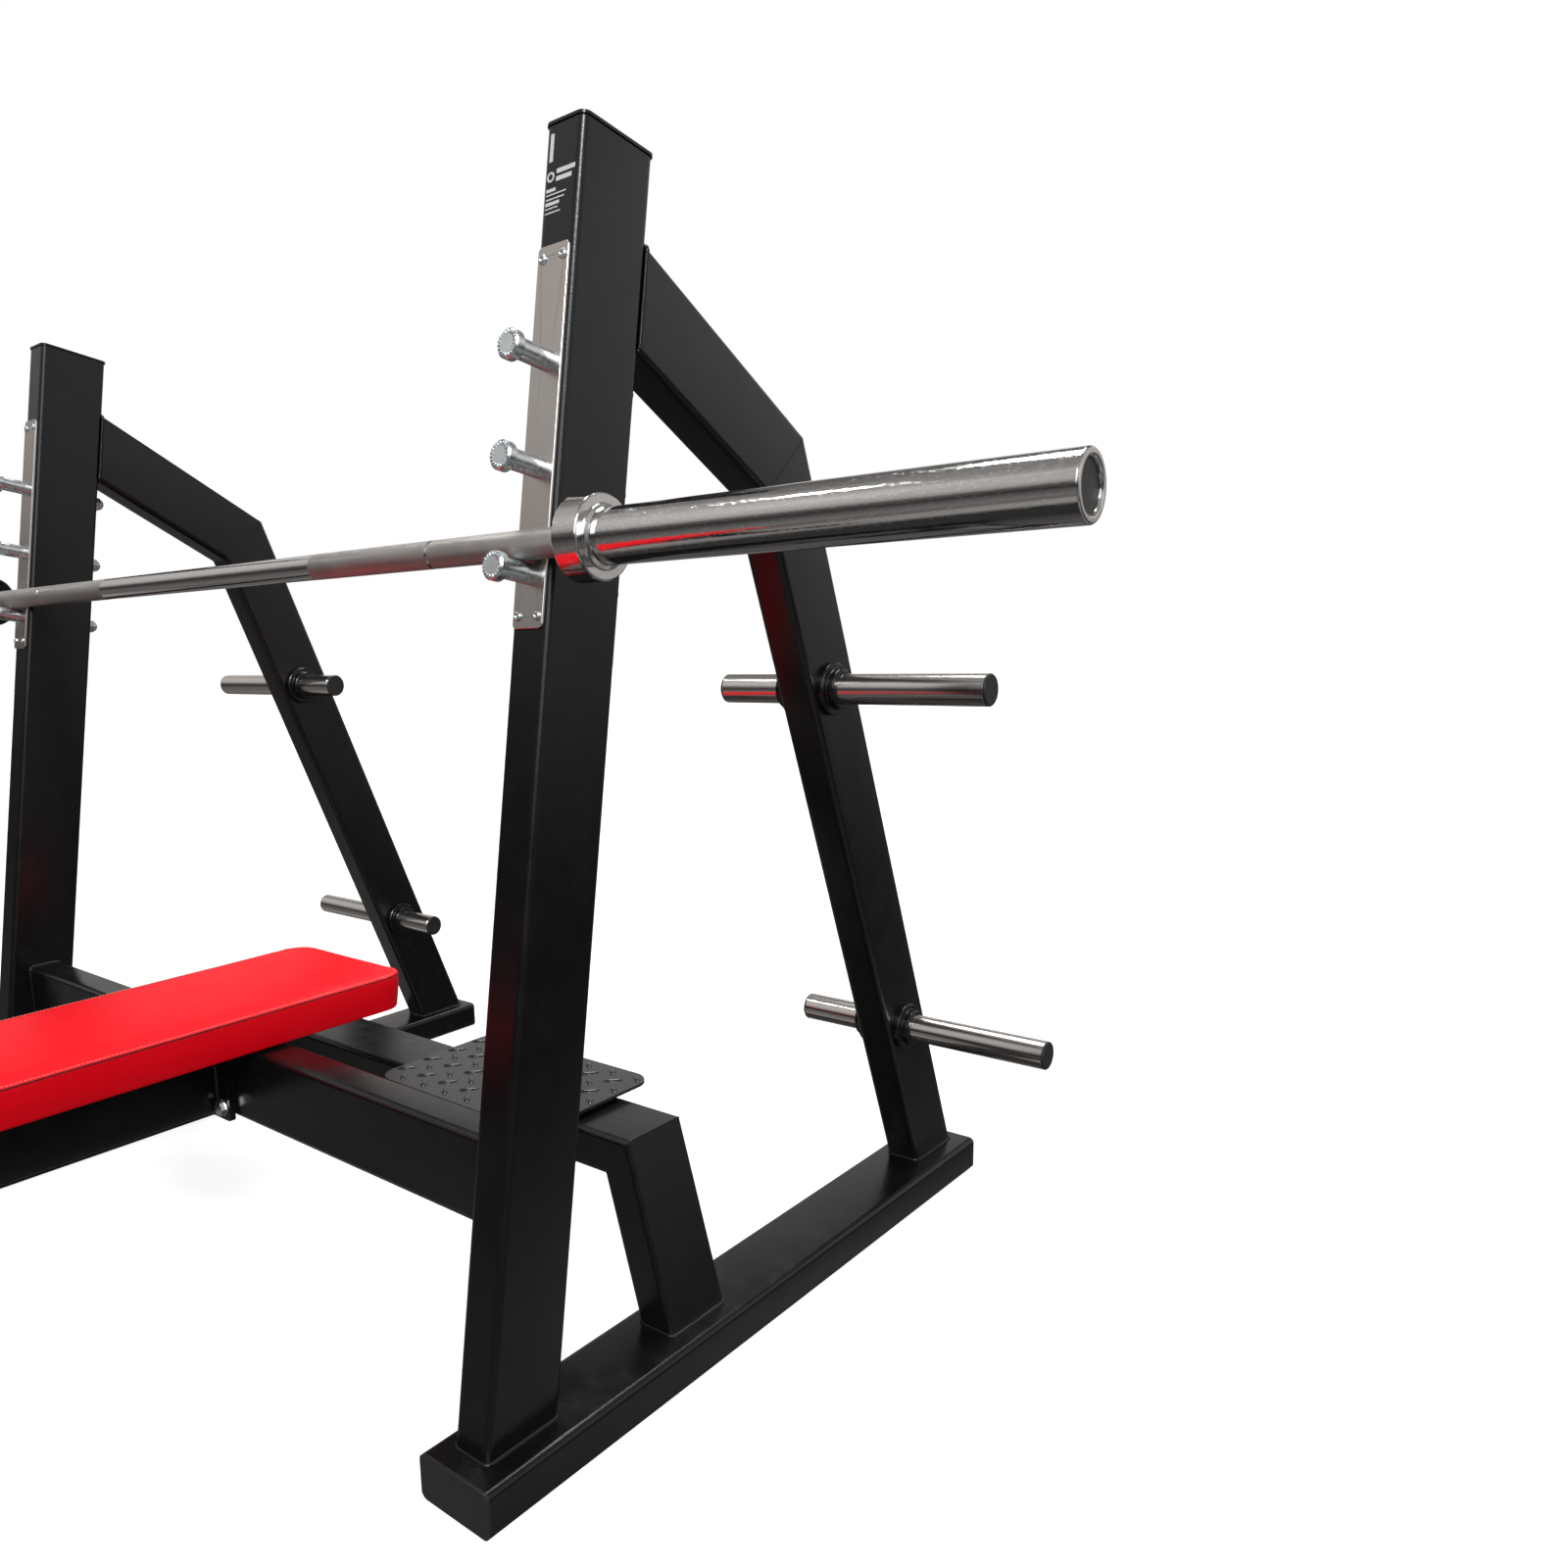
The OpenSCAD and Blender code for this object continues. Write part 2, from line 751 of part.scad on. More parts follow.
bench_foot_caps();
pad_brackets();
pad_head_bracket();
pad_bolts();
pad_board();
pad_cushion();
bar_shaft();
shaft_retaining_rings();
shaft_thrust_washers();
sleeve(-1);  // sleeve_left
sleeve(1);  // sleeve_right
sleeve_bushes(-1);  // sleeve_bushes_left
sleeve_bushes(1);  // sleeve_bushes_right
sleeve_cap(-1);  // sleeve_cap_left
sleeve_cap(1);  // sleeve_cap_right
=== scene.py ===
"""Looks of the olympic bench press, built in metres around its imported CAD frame."""
import math
import random

import bmesh
import bpy
from mathutils import Matrix, Vector, noise


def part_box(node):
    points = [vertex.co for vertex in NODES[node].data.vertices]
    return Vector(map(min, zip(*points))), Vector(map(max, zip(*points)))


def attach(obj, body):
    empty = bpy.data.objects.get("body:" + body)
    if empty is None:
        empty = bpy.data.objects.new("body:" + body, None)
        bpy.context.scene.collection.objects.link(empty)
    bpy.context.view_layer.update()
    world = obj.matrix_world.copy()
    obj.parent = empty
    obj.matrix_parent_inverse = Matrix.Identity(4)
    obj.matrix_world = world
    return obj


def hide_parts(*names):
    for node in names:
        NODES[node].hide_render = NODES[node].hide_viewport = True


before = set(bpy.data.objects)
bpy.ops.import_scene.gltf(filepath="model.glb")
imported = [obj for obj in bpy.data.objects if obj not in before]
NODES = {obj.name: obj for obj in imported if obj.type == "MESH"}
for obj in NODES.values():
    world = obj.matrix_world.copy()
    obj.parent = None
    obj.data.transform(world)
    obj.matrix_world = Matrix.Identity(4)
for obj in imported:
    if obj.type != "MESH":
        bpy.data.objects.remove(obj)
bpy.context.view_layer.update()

MM = 0.001
EX, EY, EZ = Vector((1, 0, 0)), Vector((0, 1, 0)), Vector((0, 0, 1))
SIDES = ((-1, "left"), (1, "right"))

# Steel tube of the frame
TUBE_W = 0.100
TUBE_T = 0.050
TUBE_R = 0.008
RAIL_TOP = 0.050

# Uprights: centre plane, front face at the rail, backward rake
UPRIGHT_X = 0.579
UPRIGHT_FRONT = -0.0725
RAKE = math.radians(9.3)
UP = Vector((0, math.sin(RAKE), math.cos(RAKE)))
BACK = Vector((0, math.cos(RAKE), -math.sin(RAKE)))

# Side view (y, z) of the braces: top of the arm at the upright, outer knee, outer foot
ARM_TOP = Vector((0.2204, 1.220))
KNEE = Vector((0.500, 1.065))
LEG_FOOT = Vector((0.902, 0.050))

# Front view (x, z) of the rear bridge: outer top corner, outer foot
BRIDGE_CORNER = Vector((0.546, 0.270))
BRIDGE_FOOT = Vector((0.608, 0.050))

# The bar's centre line at rest, and the catch pins' heights up the uprights
BAR_Y = 0.053818
BAR_Z = 0.928433
CATCH_UP = (0.863, 0.963, 1.063)


def on_upright(side, x, out, up):
    """A point on an upright: x off its centre plane, out in front of its face, up along it."""
    foot = Vector((side * UPRIGHT_X + x, UPRIGHT_FRONT, RAIL_TOP))
    return foot - BACK * out + UP * up


# ---------------------------------------------------------------- meshes

def add_object(name, data):
    """An object for some data, in the scene."""
    piece = bpy.data.objects.new(name, data)
    bpy.context.scene.collection.objects.link(piece)
    return piece


def add_mesh(name, verts, faces, material, smooth=True):
    """A mesh object from plain lists, its faces turned outwards."""
    mesh = bpy.data.meshes.new(name)
    mesh.from_pydata([tuple(v) for v in verts], [], faces)
    bm = bmesh.new()
    bm.from_mesh(mesh)
    bmesh.ops.recalc_face_normals(bm, faces=bm.faces)
    bm.to_mesh(mesh)
    bm.free()
    if smooth:
        mesh.shade_smooth()
    mesh.materials.append(material)
    return add_object(name, mesh)


def place(piece, body):
    """Makes a piece ride a body."""
    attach(piece, body)
    return piece


def ring_faces(rings, sides, closed=False):
    """Faces that join each ring of points to the next, and the last to the first if closed."""
    faces = []
    for r in range(rings if closed else rings - 1):
        here, there = r * sides, (r + 1) % rings * sides
        for k in range(sides):
            j = (k + 1) % sides
            faces.append((here + k, here + j, there + j, there + k))
    return faces


class Parts:
    """Collects many small closed shapes that become one mesh."""

    def __init__(self):
        self.verts = []
        self.faces = []

    def loft(self, rings):
        """Adds a closed shape through rings of equal length, with a flat face at each end."""
        count = len(rings[0])
        last = count * len(rings) - 1
        ends = [tuple(range(count)), tuple(last - i for i in range(count))]
        start = len(self.verts)
        self.verts += [v for ring in rings for v in ring]
        for face in ends + ring_faces(len(rings), count):
            self.faces.append(tuple(start + i for i in face))

    def box(self, centre, u, v, w):
        """Adds a box from its centre and three half-edge vectors."""
        ring = [(-1, -1), (1, -1), (1, 1), (-1, 1)]
        self.loft([[centre + u * a + v * b + w * c for a, b in ring] for c in (-1, 1)])

    def mesh(self, name, material, smooth=True):
        """The mesh object of all the shapes so far."""
        return add_mesh(name, self.verts, self.faces, material, smooth)


def axis_frame(axis):
    """Two directions square to an axis."""
    side = EZ if abs(axis.z) < 0.9 else EX
    u = axis.cross(side).normalized()
    return u, axis.cross(u).normalized()


def turned_rings(origin, axis, profile, segments):
    """Rings of a turned shape, from (distance along the axis, radius) pairs."""
    u, v = axis_frame(axis)
    turns = [2 * math.pi * i / segments for i in range(segments)]
    return [
        [origin + axis * d + (u * math.cos(t) + v * math.sin(t)) * r for t in turns]
        for d, r in profile
    ]


def resample(points, step, closed):
    """Points about a step apart along a line through the given points."""
    line = points + points[:1] if closed else points
    spans = [(b - a).length for a, b in zip(line, line[1:])]
    total = sum(spans)
    count = max(3, round(total / step))
    out = []
    k = 0
    passed = 0.0
    for i in range(count if closed else count + 1):
        at = total * i / count
        while k < len(spans) - 1 and passed + spans[k] < at:
            passed += spans[k]
            k += 1
        out.append(line[k].lerp(line[k + 1], min(1, (at - passed) / max(spans[k], 1e-9))))
    return out


def rounded_loop(centre, u, v, half_u, half_v, radius, steps=5):
    """A rectangle with rounded corners in the plane of the directions u and v."""
    points = []
    for corner, (a, b) in enumerate([(1, 1), (-1, 1), (-1, -1), (1, -1)]):
        middle = centre + u * a * (half_u - radius) + v * b * (half_v - radius)
        for i in range(steps + 1):
            t = math.pi / 2 * (corner + i / steps)
            points.append(middle + (u * math.cos(t) + v * math.sin(t)) * radius)
    return points


# ---------------------------------------------------------------- materials

def add_node(tree, kind, sockets=None, **settings):
    """A shader node whose sockets take numbers, colours or other nodes' outputs."""
    node = tree.nodes.new("ShaderNode" + kind)
    for key, value in settings.items():
        setattr(node, key, value)
    for socket, value in (sockets or {}).items():
        if isinstance(value, bpy.types.NodeSocket):
            tree.links.new(value, node.inputs[socket])
        else:
            node.inputs[socket].default_value = value
    return node


def start_material(name, metallic=0.0, **sockets):
    """A material with one Principled shader, its tree and the object's own coordinates."""
    material = bpy.data.materials.new(name)
    material.use_nodes = True
    tree = material.node_tree
    shader = tree.nodes["Principled BSDF"]
    shader.inputs["Metallic"].default_value = metallic
    for socket, value in sockets.items():
        shader.inputs[socket.replace("_", " ")].default_value = value
    where = add_node(tree, "TexCoord").outputs["Object"]
    return material, tree, shader, where


def grain(tree, where, scale, detail=2.0, stretch=(1, 1, 1), turn=(0, 0, 0), roughness=0.5):
    """Noise from 0 to 1 whose pattern can be stretched and turned."""
    mapped = add_node(tree, "Mapping", {"Vector": where, "Scale": stretch, "Rotation": turn})
    sockets = {
        "Vector": mapped.outputs[0], "Scale": scale, "Detail": detail, "Roughness": roughness,
    }
    return add_node(tree, "TexNoise", sockets).outputs["Fac"]


def spread(tree, value, low, high, start=0.3, end=0.7):
    """A value mapped from start..end onto low..high, and held at the ends."""
    sockets = {"Value": value, "From Min": start, "From Max": end, "To Min": low, "To Max": high}
    return add_node(tree, "MapRange", sockets).outputs[0]


def blend_colour(tree, factor, a, b):
    """A colour between two, by a factor."""
    node = add_node(tree, "Mix", data_type="RGBA")
    tree.links.new(factor, node.inputs[0])
    for socket, value in ((6, a), (7, b)):
        if isinstance(value, bpy.types.NodeSocket):
            tree.links.new(value, node.inputs[socket])
        else:
            node.inputs[socket].default_value = (*value, 1)
    return node.outputs[2]


def maths(tree, operation, a, b=None):
    """One step of arithmetic on values or numbers."""
    sockets = {0: a} if b is None else {0: a, 1: b}
    return add_node(tree, "Math", sockets, operation=operation).outputs[0]


def edge_wear_and_sheen(tree, where, radius):
    """From 0 on flat faces to 1 on sharp convex edges, broken up by noise; the materials pale their
    edges with it, partly as wear and partly as a painted highlight.
    """
    soft = add_node(tree, "Bevel", {"Radius": radius}, samples=4).outputs[0]
    plain = add_node(tree, "NewGeometry").outputs["Normal"]
    same = add_node(tree, "VectorMath", {0: soft, 1: plain}, operation="DOT_PRODUCT")
    edge = spread(tree, same.outputs["Value"], 1, 0, 0.86, 0.995)
    return maths(tree, "MULTIPLY", edge, spread(tree, grain(tree, where, 60, 4), 0.15, 1))


def surface(tree, shader, colour, rough):
    """Feeds a shader its colour and its roughness."""
    tree.links.new(colour, shader.inputs["Base Color"])
    tree.links.new(rough, shader.inputs["Roughness"])


def bumps(tree, shader, *layers):
    """Stacks bump layers of (height value, distance in metres, strength) onto a shader."""
    normal = None
    for height, distance, strength in layers:
        sockets = {"Height": height, "Distance": distance, "Strength": strength}
        if normal is not None:
            sockets["Normal"] = normal
        normal = add_node(tree, "Bump", sockets).outputs[0]
    tree.links.new(normal, shader.inputs["Normal"])


def powder_coat(name, rough, peel_strength):
    """Semi-gloss black powder coat with orange peel, paler on the edges, partly as thinner coat and
    partly as a painted highlight.
    """
    material, tree, shader, where = start_material(
        name, IOR=1.42, Coat_Weight=0.12, Coat_Roughness=0.14
    )
    cloud = grain(tree, where, 7, 3)
    base = blend_colour(tree, cloud, (0.0026, 0.0026, 0.0031), (0.0046, 0.0046, 0.0052))
    # Paler edges: partly thinner coat, partly a painted highlight on the rounded edges.
    edge_wear_sheen_mask = edge_wear_and_sheen(tree, where, 1.2 * MM)
    colour = blend_colour(tree, edge_wear_sheen_mask, base, (0.035, 0.035, 0.037))
    surface(tree, shader, colour, spread(tree, grain(tree, where, 34, 4), *rough))
    peel = grain(tree, where, 520, 1.5)
    dust = grain(tree, where, 1900, 2)
    bumps(tree, shader, (peel, 0.00028, peel_strength), (dust, 0.00006, 0.25))
    return material


def checker_coat(name, rough, relief):
    """The tread plates' black: coarser, with paler edges, partly wear and partly a painted
    highlight.
    """
    material, tree, shader, where = start_material(name, Coat_Weight=0.2, Coat_Roughness=0.2)
    speck = grain(tree, where, 260, 5, roughness=0.7)
    tone = spread(tree, speck, 0, 1)
    base = blend_colour(tree, tone, (0.008, 0.008, 0.009), (0.022, 0.022, 0.024))
    # Paler edges: partly wear, partly a painted highlight.
    edge_wear_sheen_mask = edge_wear_and_sheen(tree, where, 0.8 * MM)
    colour = blend_colour(tree, edge_wear_sheen_mask, base, (0.07, 0.07, 0.072))
    surface(tree, shader, colour, spread(tree, speck, *rough))
    bumps(tree, shader, (grain(tree, where, 430, 3), relief, 0.4))
    return material


def black_plastic():
    """Moulded black plastic of the end caps and flanges."""
    material, tree, shader, where = start_material("black_plastic_look", IOR=1.47)
    cloud = grain(tree, where, 40, 4)
    base = blend_colour(tree, cloud, (0.010, 0.010, 0.010), (0.020, 0.020, 0.021))
    # Paler edges: partly wear, partly a painted highlight.
    edge_wear_sheen_mask = edge_wear_and_sheen(tree, where, 0.6 * MM)
    colour = blend_colour(tree, edge_wear_sheen_mask, base, (0.05, 0.05, 0.05))
    surface(tree, shader, colour, spread(tree, cloud, 0.36, 0.5))
    bumps(tree, shader, (grain(tree, where, 1500, 2), 0.00008, 0.35))
    return material


def brushed_steel(name, stretch, turn, tint, rough, smear_tint, relief):
    """Stainless steel with fine brush lines along the axis whose stretch is smallest."""
    material, tree, shader, where = start_material(name, metallic=1.0)
    lines = grain(tree, where, 1.0, 3, stretch, turn, 0.65)
    smear = grain(tree, where, 9, 3)
    dark = tuple(c * 0.84 for c in tint)
    base = blend_colour(tree, lines, dark, tint)
    colour = blend_colour(tree, spread(tree, smear, 0, 0.35), base, smear_tint)
    surface(tree, shader, colour, spread(tree, lines, *rough))
    bumps(tree, shader, (lines, relief, 0.5))
    return material


def zinc_plate():
    """Bright zinc plating, faintly blue and mottled."""
    material, tree, shader, where = start_material("zinc_look", metallic=1.0)
    mottle = grain(tree, where, 180, 4, roughness=0.6)
    base = blend_colour(tree, spread(tree, mottle, 0, 1), (0.70, 0.75, 0.78), (0.88, 0.94, 0.97))
    # Paler edges: partly wear, partly a painted highlight.
    edge_wear_sheen_mask = edge_wear_and_sheen(tree, where, 0.5 * MM)
    colour = blend_colour(tree, edge_wear_sheen_mask, base, (0.86, 0.86, 0.85))
    surface(tree, shader, colour, spread(tree, mottle, 0.20, 0.36))
    bumps(tree, shader, (mottle, 0.0002, 0.2), (grain(tree, where, 1200, 2), 0.00005, 0.3))
    return material


def chrome():
    """Hard chrome with turning lines and light scuffs."""
    material, tree, shader, where = start_material("chrome_look", metallic=1.0)
    lines = grain(tree, where, 1.0, 3, (1400, 10, 10), roughness=0.7)
    patches = grain(tree, where, 260, 5, (0.7, 2.0, 2.0), roughness=0.75)
    scuff = spread(tree, patches, 0, 1, 0.53, 0.62)
    colour = blend_colour(tree, scuff, (0.66, 0.655, 0.65), (0.80, 0.795, 0.79))
    scuffed = maths(tree, "MULTIPLY", scuff, 0.12)
    rough = maths(tree, "ADD", spread(tree, lines, 0.05, 0.09), scuffed)
    surface(tree, shader, colour, rough)
    bumps(tree, shader, (lines, 0.00001, 0.3), (scuff, 0.000012, 0.5))
    return material


def knurled_chrome():
    """The gripping zones of the shaft: crossed helical grooves around the bar's axis, darkened in
    the grooves with painted shade.
    """
    material, tree, shader, where = start_material("knurl_look", metallic=1.0)
    parts = add_node(tree, "SeparateXYZ", {0: where})
    across = maths(tree, "SUBTRACT", parts.outputs["Y"], BAR_Y)
    rise = maths(tree, "SUBTRACT", parts.outputs["Z"], BAR_Z)
    turns = maths(tree, "MULTIPLY", maths(tree, "ARCTAN2", rise, across), 28)
    slide = maths(tree, "MULTIPLY", parts.outputs["X"], 2000)
    waves = [maths(tree, "SINE", maths(tree, way, turns, slide)) for way in ("ADD", "SUBTRACT")]
    teeth = maths(tree, "MINIMUM", *(maths(tree, "ABSOLUTE", wave) for wave in waves))
    cloud = grain(tree, where, 45, 4)
    # Painted shade: the grooves are coloured darker, with a little random tone from the cloud.
    depth = spread(tree, teeth, 0.35, 1, 0, 0.6)
    painted_groove_shade = maths(tree, "MULTIPLY", depth, spread(tree, cloud, 0.75, 1))
    colour = blend_colour(tree, painted_groove_shade, (0.30, 0.29, 0.28), (0.66, 0.63, 0.61))
    surface(tree, shader, colour, spread(tree, cloud, 0.30, 0.42))
    bumps(tree, shader, (teeth, 0.0004, 0.6))
    return material


def plain_metal(name, dark, light, rough):
    """Small hidden metal parts: a mottled colour with fine grain."""
    material, tree, shader, where = start_material(name, metallic=1.0)
    cloud = grain(tree, where, 150, 4)
    surface(tree, shader, blend_colour(tree, cloud, dark, light), spread(tree, cloud, *rough))
    bumps(tree, shader, (grain(tree, where, 900, 3), 0.00005, 0.4))
    return material


def plywood():
    """Birch plywood with long grain and darker glue lines."""
    material, tree, shader, where = start_material("plywood_look")
    fibres = grain(tree, where, 1.0, 5, (160, 6, 160))
    sockets = {"Vector": where, "Scale": 60, "Distortion": 0.6}
    plies = add_node(tree, "TexWave", sockets, bands_direction="Z")
    wood = blend_colour(tree, fibres, (0.42, 0.27, 0.14), (0.64, 0.47, 0.29))
    glue = spread(tree, plies.outputs["Fac"], 0.35, 0, 0, 0.3)
    colour = blend_colour(tree, glue, wood, (0.22, 0.12, 0.06))
    surface(tree, shader, colour, spread(tree, fibres, 0.55, 0.75))
    bumps(tree, shader, (fibres, 0.0003, 0.4))
    return material


def red_vinyl():
    """Upholstery vinyl: bright red, soft gloss, a fine pebbled grain and faint creases."""
    material, tree, shader, where = start_material(
        "red_vinyl_look", Coat_Weight=0.04, Coat_Roughness=0.30
    )
    shader.inputs["Specular IOR Level"].default_value = 0.13
    cloud = grain(tree, where, 9, 4)
    base = blend_colour(tree, cloud, (0.84, 0.0006, 0.008), (0.93, 0.0012, 0.012))
    sockets = {"Vector": where, "Scale": 620, "Randomness": 0.9}
    pebble = add_node(tree, "TexVoronoi", sockets, feature="DISTANCE_TO_EDGE")
    cells = spread(tree, pebble.outputs["Distance"], 0, 1, 0, 0.35)
    colour = blend_colour(tree, spread(tree, cells, 0.35, 0, 0, 1), base, (0.55, 0.003, 0.008))
    surface(tree, shader, colour, spread(tree, cloud, 0.38, 0.47))
    crease = grain(tree, where, 30, 5, (1, 0.6, 1))
    bumps(tree, shader, (crease, 0.0012, 0.16), (cells, 0.00012, 0.35))
    return material


def thread_and_seam_shade_look(name, dark, light):
    """Sewing thread with a twist, also used for the seam's dark strip of painted shade."""
    material, tree, shader, where = start_material(name)
    sockets = {"Vector": where, "Scale": 700}
    ply = add_node(tree, "TexWave", sockets, bands_direction="DIAGONAL").outputs["Fac"]
    surface(tree, shader, blend_colour(tree, ply, dark, light), spread(tree, ply, 0.5, 0.7, 0, 1))
    bumps(tree, shader, (ply, 0.0001, 0.5))
    return material


def white_print():
    """Thin white ink with small gaps where the powder coat's peel shows."""
    material, tree, shader, where = start_material("print_look")
    gaps = spread(tree, grain(tree, where, 800, 3), 0, 0.25, 0.6, 0.8)
    colour = blend_colour(tree, gaps, (0.83, 0.83, 0.84), (0.25, 0.25, 0.25))
    surface(tree, shader, colour, spread(tree, gaps, 0.4, 0.55, 0, 0.25))
    bumps(tree, shader, (grain(tree, where, 500, 2), 0.0001, 0.3))
    return material


COAT = powder_coat("black_powder_coat_look", rough=(0.20, 0.30), peel_strength=0.50)
WELD_COAT = powder_coat("coated_weld_look", rough=(0.12, 0.20), peel_strength=0.15)
CHECKER = checker_coat("checker_plate_look", rough=(0.20, 0.34), relief=0.0004)
LENS_COAT = checker_coat("tread_lens_look", rough=(0.06, 0.12), relief=0.00003)
PLASTIC = black_plastic()
WEAR_STEEL = brushed_steel(
    "wear_plate_look", stretch=(1300, 1300, 9), turn=(-RAKE, 0, 0), tint=(0.62, 0.585, 0.56),
    rough=(0.24, 0.36), smear_tint=(0.50, 0.47, 0.45), relief=0.00004,
)
PEG_STEEL = brushed_steel(
    "peg_steel_look", stretch=(1500, 14, 14), turn=(0, 0, 0), tint=(0.74, 0.71, 0.685),
    rough=(0.15, 0.21), smear_tint=(0.66, 0.63, 0.61), relief=0.000008,
)
ZINC = zinc_plate()
CHROME = chrome()
KNURLED = knurled_chrome()
SPRING = plain_metal("spring_steel_look", (0.10, 0.10, 0.11), (0.22, 0.21, 0.21), (0.3, 0.45))
BRONZE = plain_metal("bronze_look", (0.42, 0.24, 0.10), (0.62, 0.38, 0.17), (0.3, 0.42))
PLYWOOD = plywood()
VINYL = red_vinyl()
THREAD = thread_and_seam_shade_look("thread_look", (0.88, 0.16, 0.15), (0.98, 0.38, 0.35))
# A dark strip of painted shade for the seam's groove, in a thread look.
SEAM_SHADE_PAINT = thread_and_seam_shade_look("seam_painted_shade_look", (0.05, 0.0004, 0.002), (0.13, 0.001, 0.004))
PRINT = white_print()

SLOT_LOOKS = {
    "black_powder_coat": COAT,
    "black_checker_plate": CHECKER,
    "black_plastic": PLASTIC,
    "stainless": PEG_STEEL,
    "zinc": ZINC,
    "chrome": CHROME,
    "spring_steel": SPRING,
    "bronze": BRONZE,
    "plywood": PLYWOOD,
    "red_vinyl": VINYL,
}


def sharp_by_angle(degrees):
    """A geometry node group that shades smooth, but keeps edges sharper than an angle."""
    group = bpy.data.node_groups.new("sharp_by_angle", "GeometryNodeTree")
    for in_out in ("INPUT", "OUTPUT"):
        group.interface.new_socket("Geometry", in_out=in_out, socket_type="NodeSocketGeometry")
    start = group.nodes.new("NodeGroupInput")
    end = group.nodes.new("NodeGroupOutput")
    faces = group.nodes.new("GeometryNodeSetShadeSmooth")
    edges = group.nodes.new("GeometryNodeSetShadeSmooth")
    edges.domain = "EDGE"
    plain = group.nodes.new("GeometryNodeRemoveAttribute")
    plain.inputs["Name"].default_value = "custom_normal"
    angle = group.nodes.new("GeometryNodeInputMeshEdgeAngle")
    flat_enough = group.nodes.new("FunctionNodeCompare")
    flat_enough.operation = "LESS_THAN"
    flat_enough.inputs["B"].default_value = math.radians(degrees)
    group.links.new(start.outputs[0], plain.inputs["Geometry"])
    group.links.new(plain.outputs[0], faces.inputs["Geometry"])
    group.links.new(faces.outputs[0], edges.inputs["Geometry"])
    group.links.new(angle.outputs["Unsigned Angle"], flat_enough.inputs["A"])
    group.links.new(flat_enough.outputs[0], edges.inputs["Shade Smooth"])
    group.links.new(edges.outputs[0], end.inputs[0])
    return group


def dress_cad():
    """Gives every CAD node its look, by its own slot's name, and a fine bevel on its edges."""
    shading = sharp_by_angle(15)
    for name, node in NODES.items():
        for holder in node.material_slots:
            plain = holder.material.name.split(".")[0]
            holder.material = SLOT_LOOKS[plain]
            if name.startswith("wear_plate_") and plain == "stainless":
                holder.material = WEAR_STEEL
        merge = node.modifiers.new("weld", "WELD")
        merge.merge_threshold = 0.01 * MM
        bevel = node.modifiers.new("bevel", "BEVEL")
        bevel.width = 0.5 * MM
        bevel.segments = 1
        bevel.limit_method = "ANGLE"
        bevel.angle_limit = math.radians(40)
        node.modifiers.new("shading", "NODES").node_group = shading


dress_cad()


# ---------------------------------------------------------------- welds

# Beads: radius, ripple spacing, spacing of the points along one and their number round it,
# and how far a bead that was ground down lies inside the tubes' corner
BEAD_R = 2.8 * MM
RIPPLE = 3.4 * MM
BEAD_STEP = 0.85 * MM
BEAD_SIDES = 10
GROUND = 1.0 * MM


def weld(name, loop, normal, radius, closed, seed):
    """A rippled weld bead along a flat line; normal is square to the line's plane."""
    chance = random.Random(seed)
    points = resample(loop, BEAD_STEP, closed)
    count = len(points)
    normal = normal.normalized()
    turns = [2 * math.pi * k / BEAD_SIDES for k in range(BEAD_SIDES)]
    verts = []
    for i, point in enumerate(points):
        before = points[i - 1] if closed or i else point
        after = points[(i + 1) % count] if closed or i < count - 1 else point
        along = (after - before).normalized()
        outward = along.cross(normal)
        phase = (i * BEAD_STEP / RIPPLE) % 1
        crest = 0.22 * math.sin(math.pi * phase) ** 0.7
        size = radius * (0.82 + crest + chance.uniform(-0.02, 0.02))
        if not closed:
            size *= min(1, 0.35 + min(i, count - 1 - i) * 0.16)
        lean = along * radius * 0.25 * math.sin(math.pi * phase)
        verts += [
            point + (normal * math.cos(t) + outward * math.sin(t)) * size + lean * math.cos(t)
            for t in turns
        ]
    faces = ring_faces(count, BEAD_SIDES, closed)
    if not closed:
        last = len(verts) - BEAD_SIDES
        faces += [tuple(range(BEAD_SIDES)), tuple(range(last, len(verts)))]
    place(add_mesh(name, verts, faces, WELD_COAT), "frame")


def tube_weld(name, centre, u, v, half_u, half_v, seed, radius=BEAD_R):
    """A bead all round a tube where it meets a face."""
    loop = rounded_loop(centre, u, v, half_u, half_v, TUBE_R)
    weld(name, loop, u.cross(v), radius, True, seed)


def inward(direction):
    """The direction square to a brace in its own plane, towards its inner side."""
    return Vector((direction.y, -direction.x))


def mitre(first, corner, last):
    """Direction and factor of the mitre line where two tubes of one depth meet at a corner."""
    normals = [inward((corner - first).normalized()), inward((last - corner).normalized())]
    middle = (normals[0] + normals[1]).normalized()
    return middle, 1 / middle.dot(normals[0])


def side_point(x, p):
    """A side view point (y, z) set at x."""
    return Vector((x, p.x, p.y))


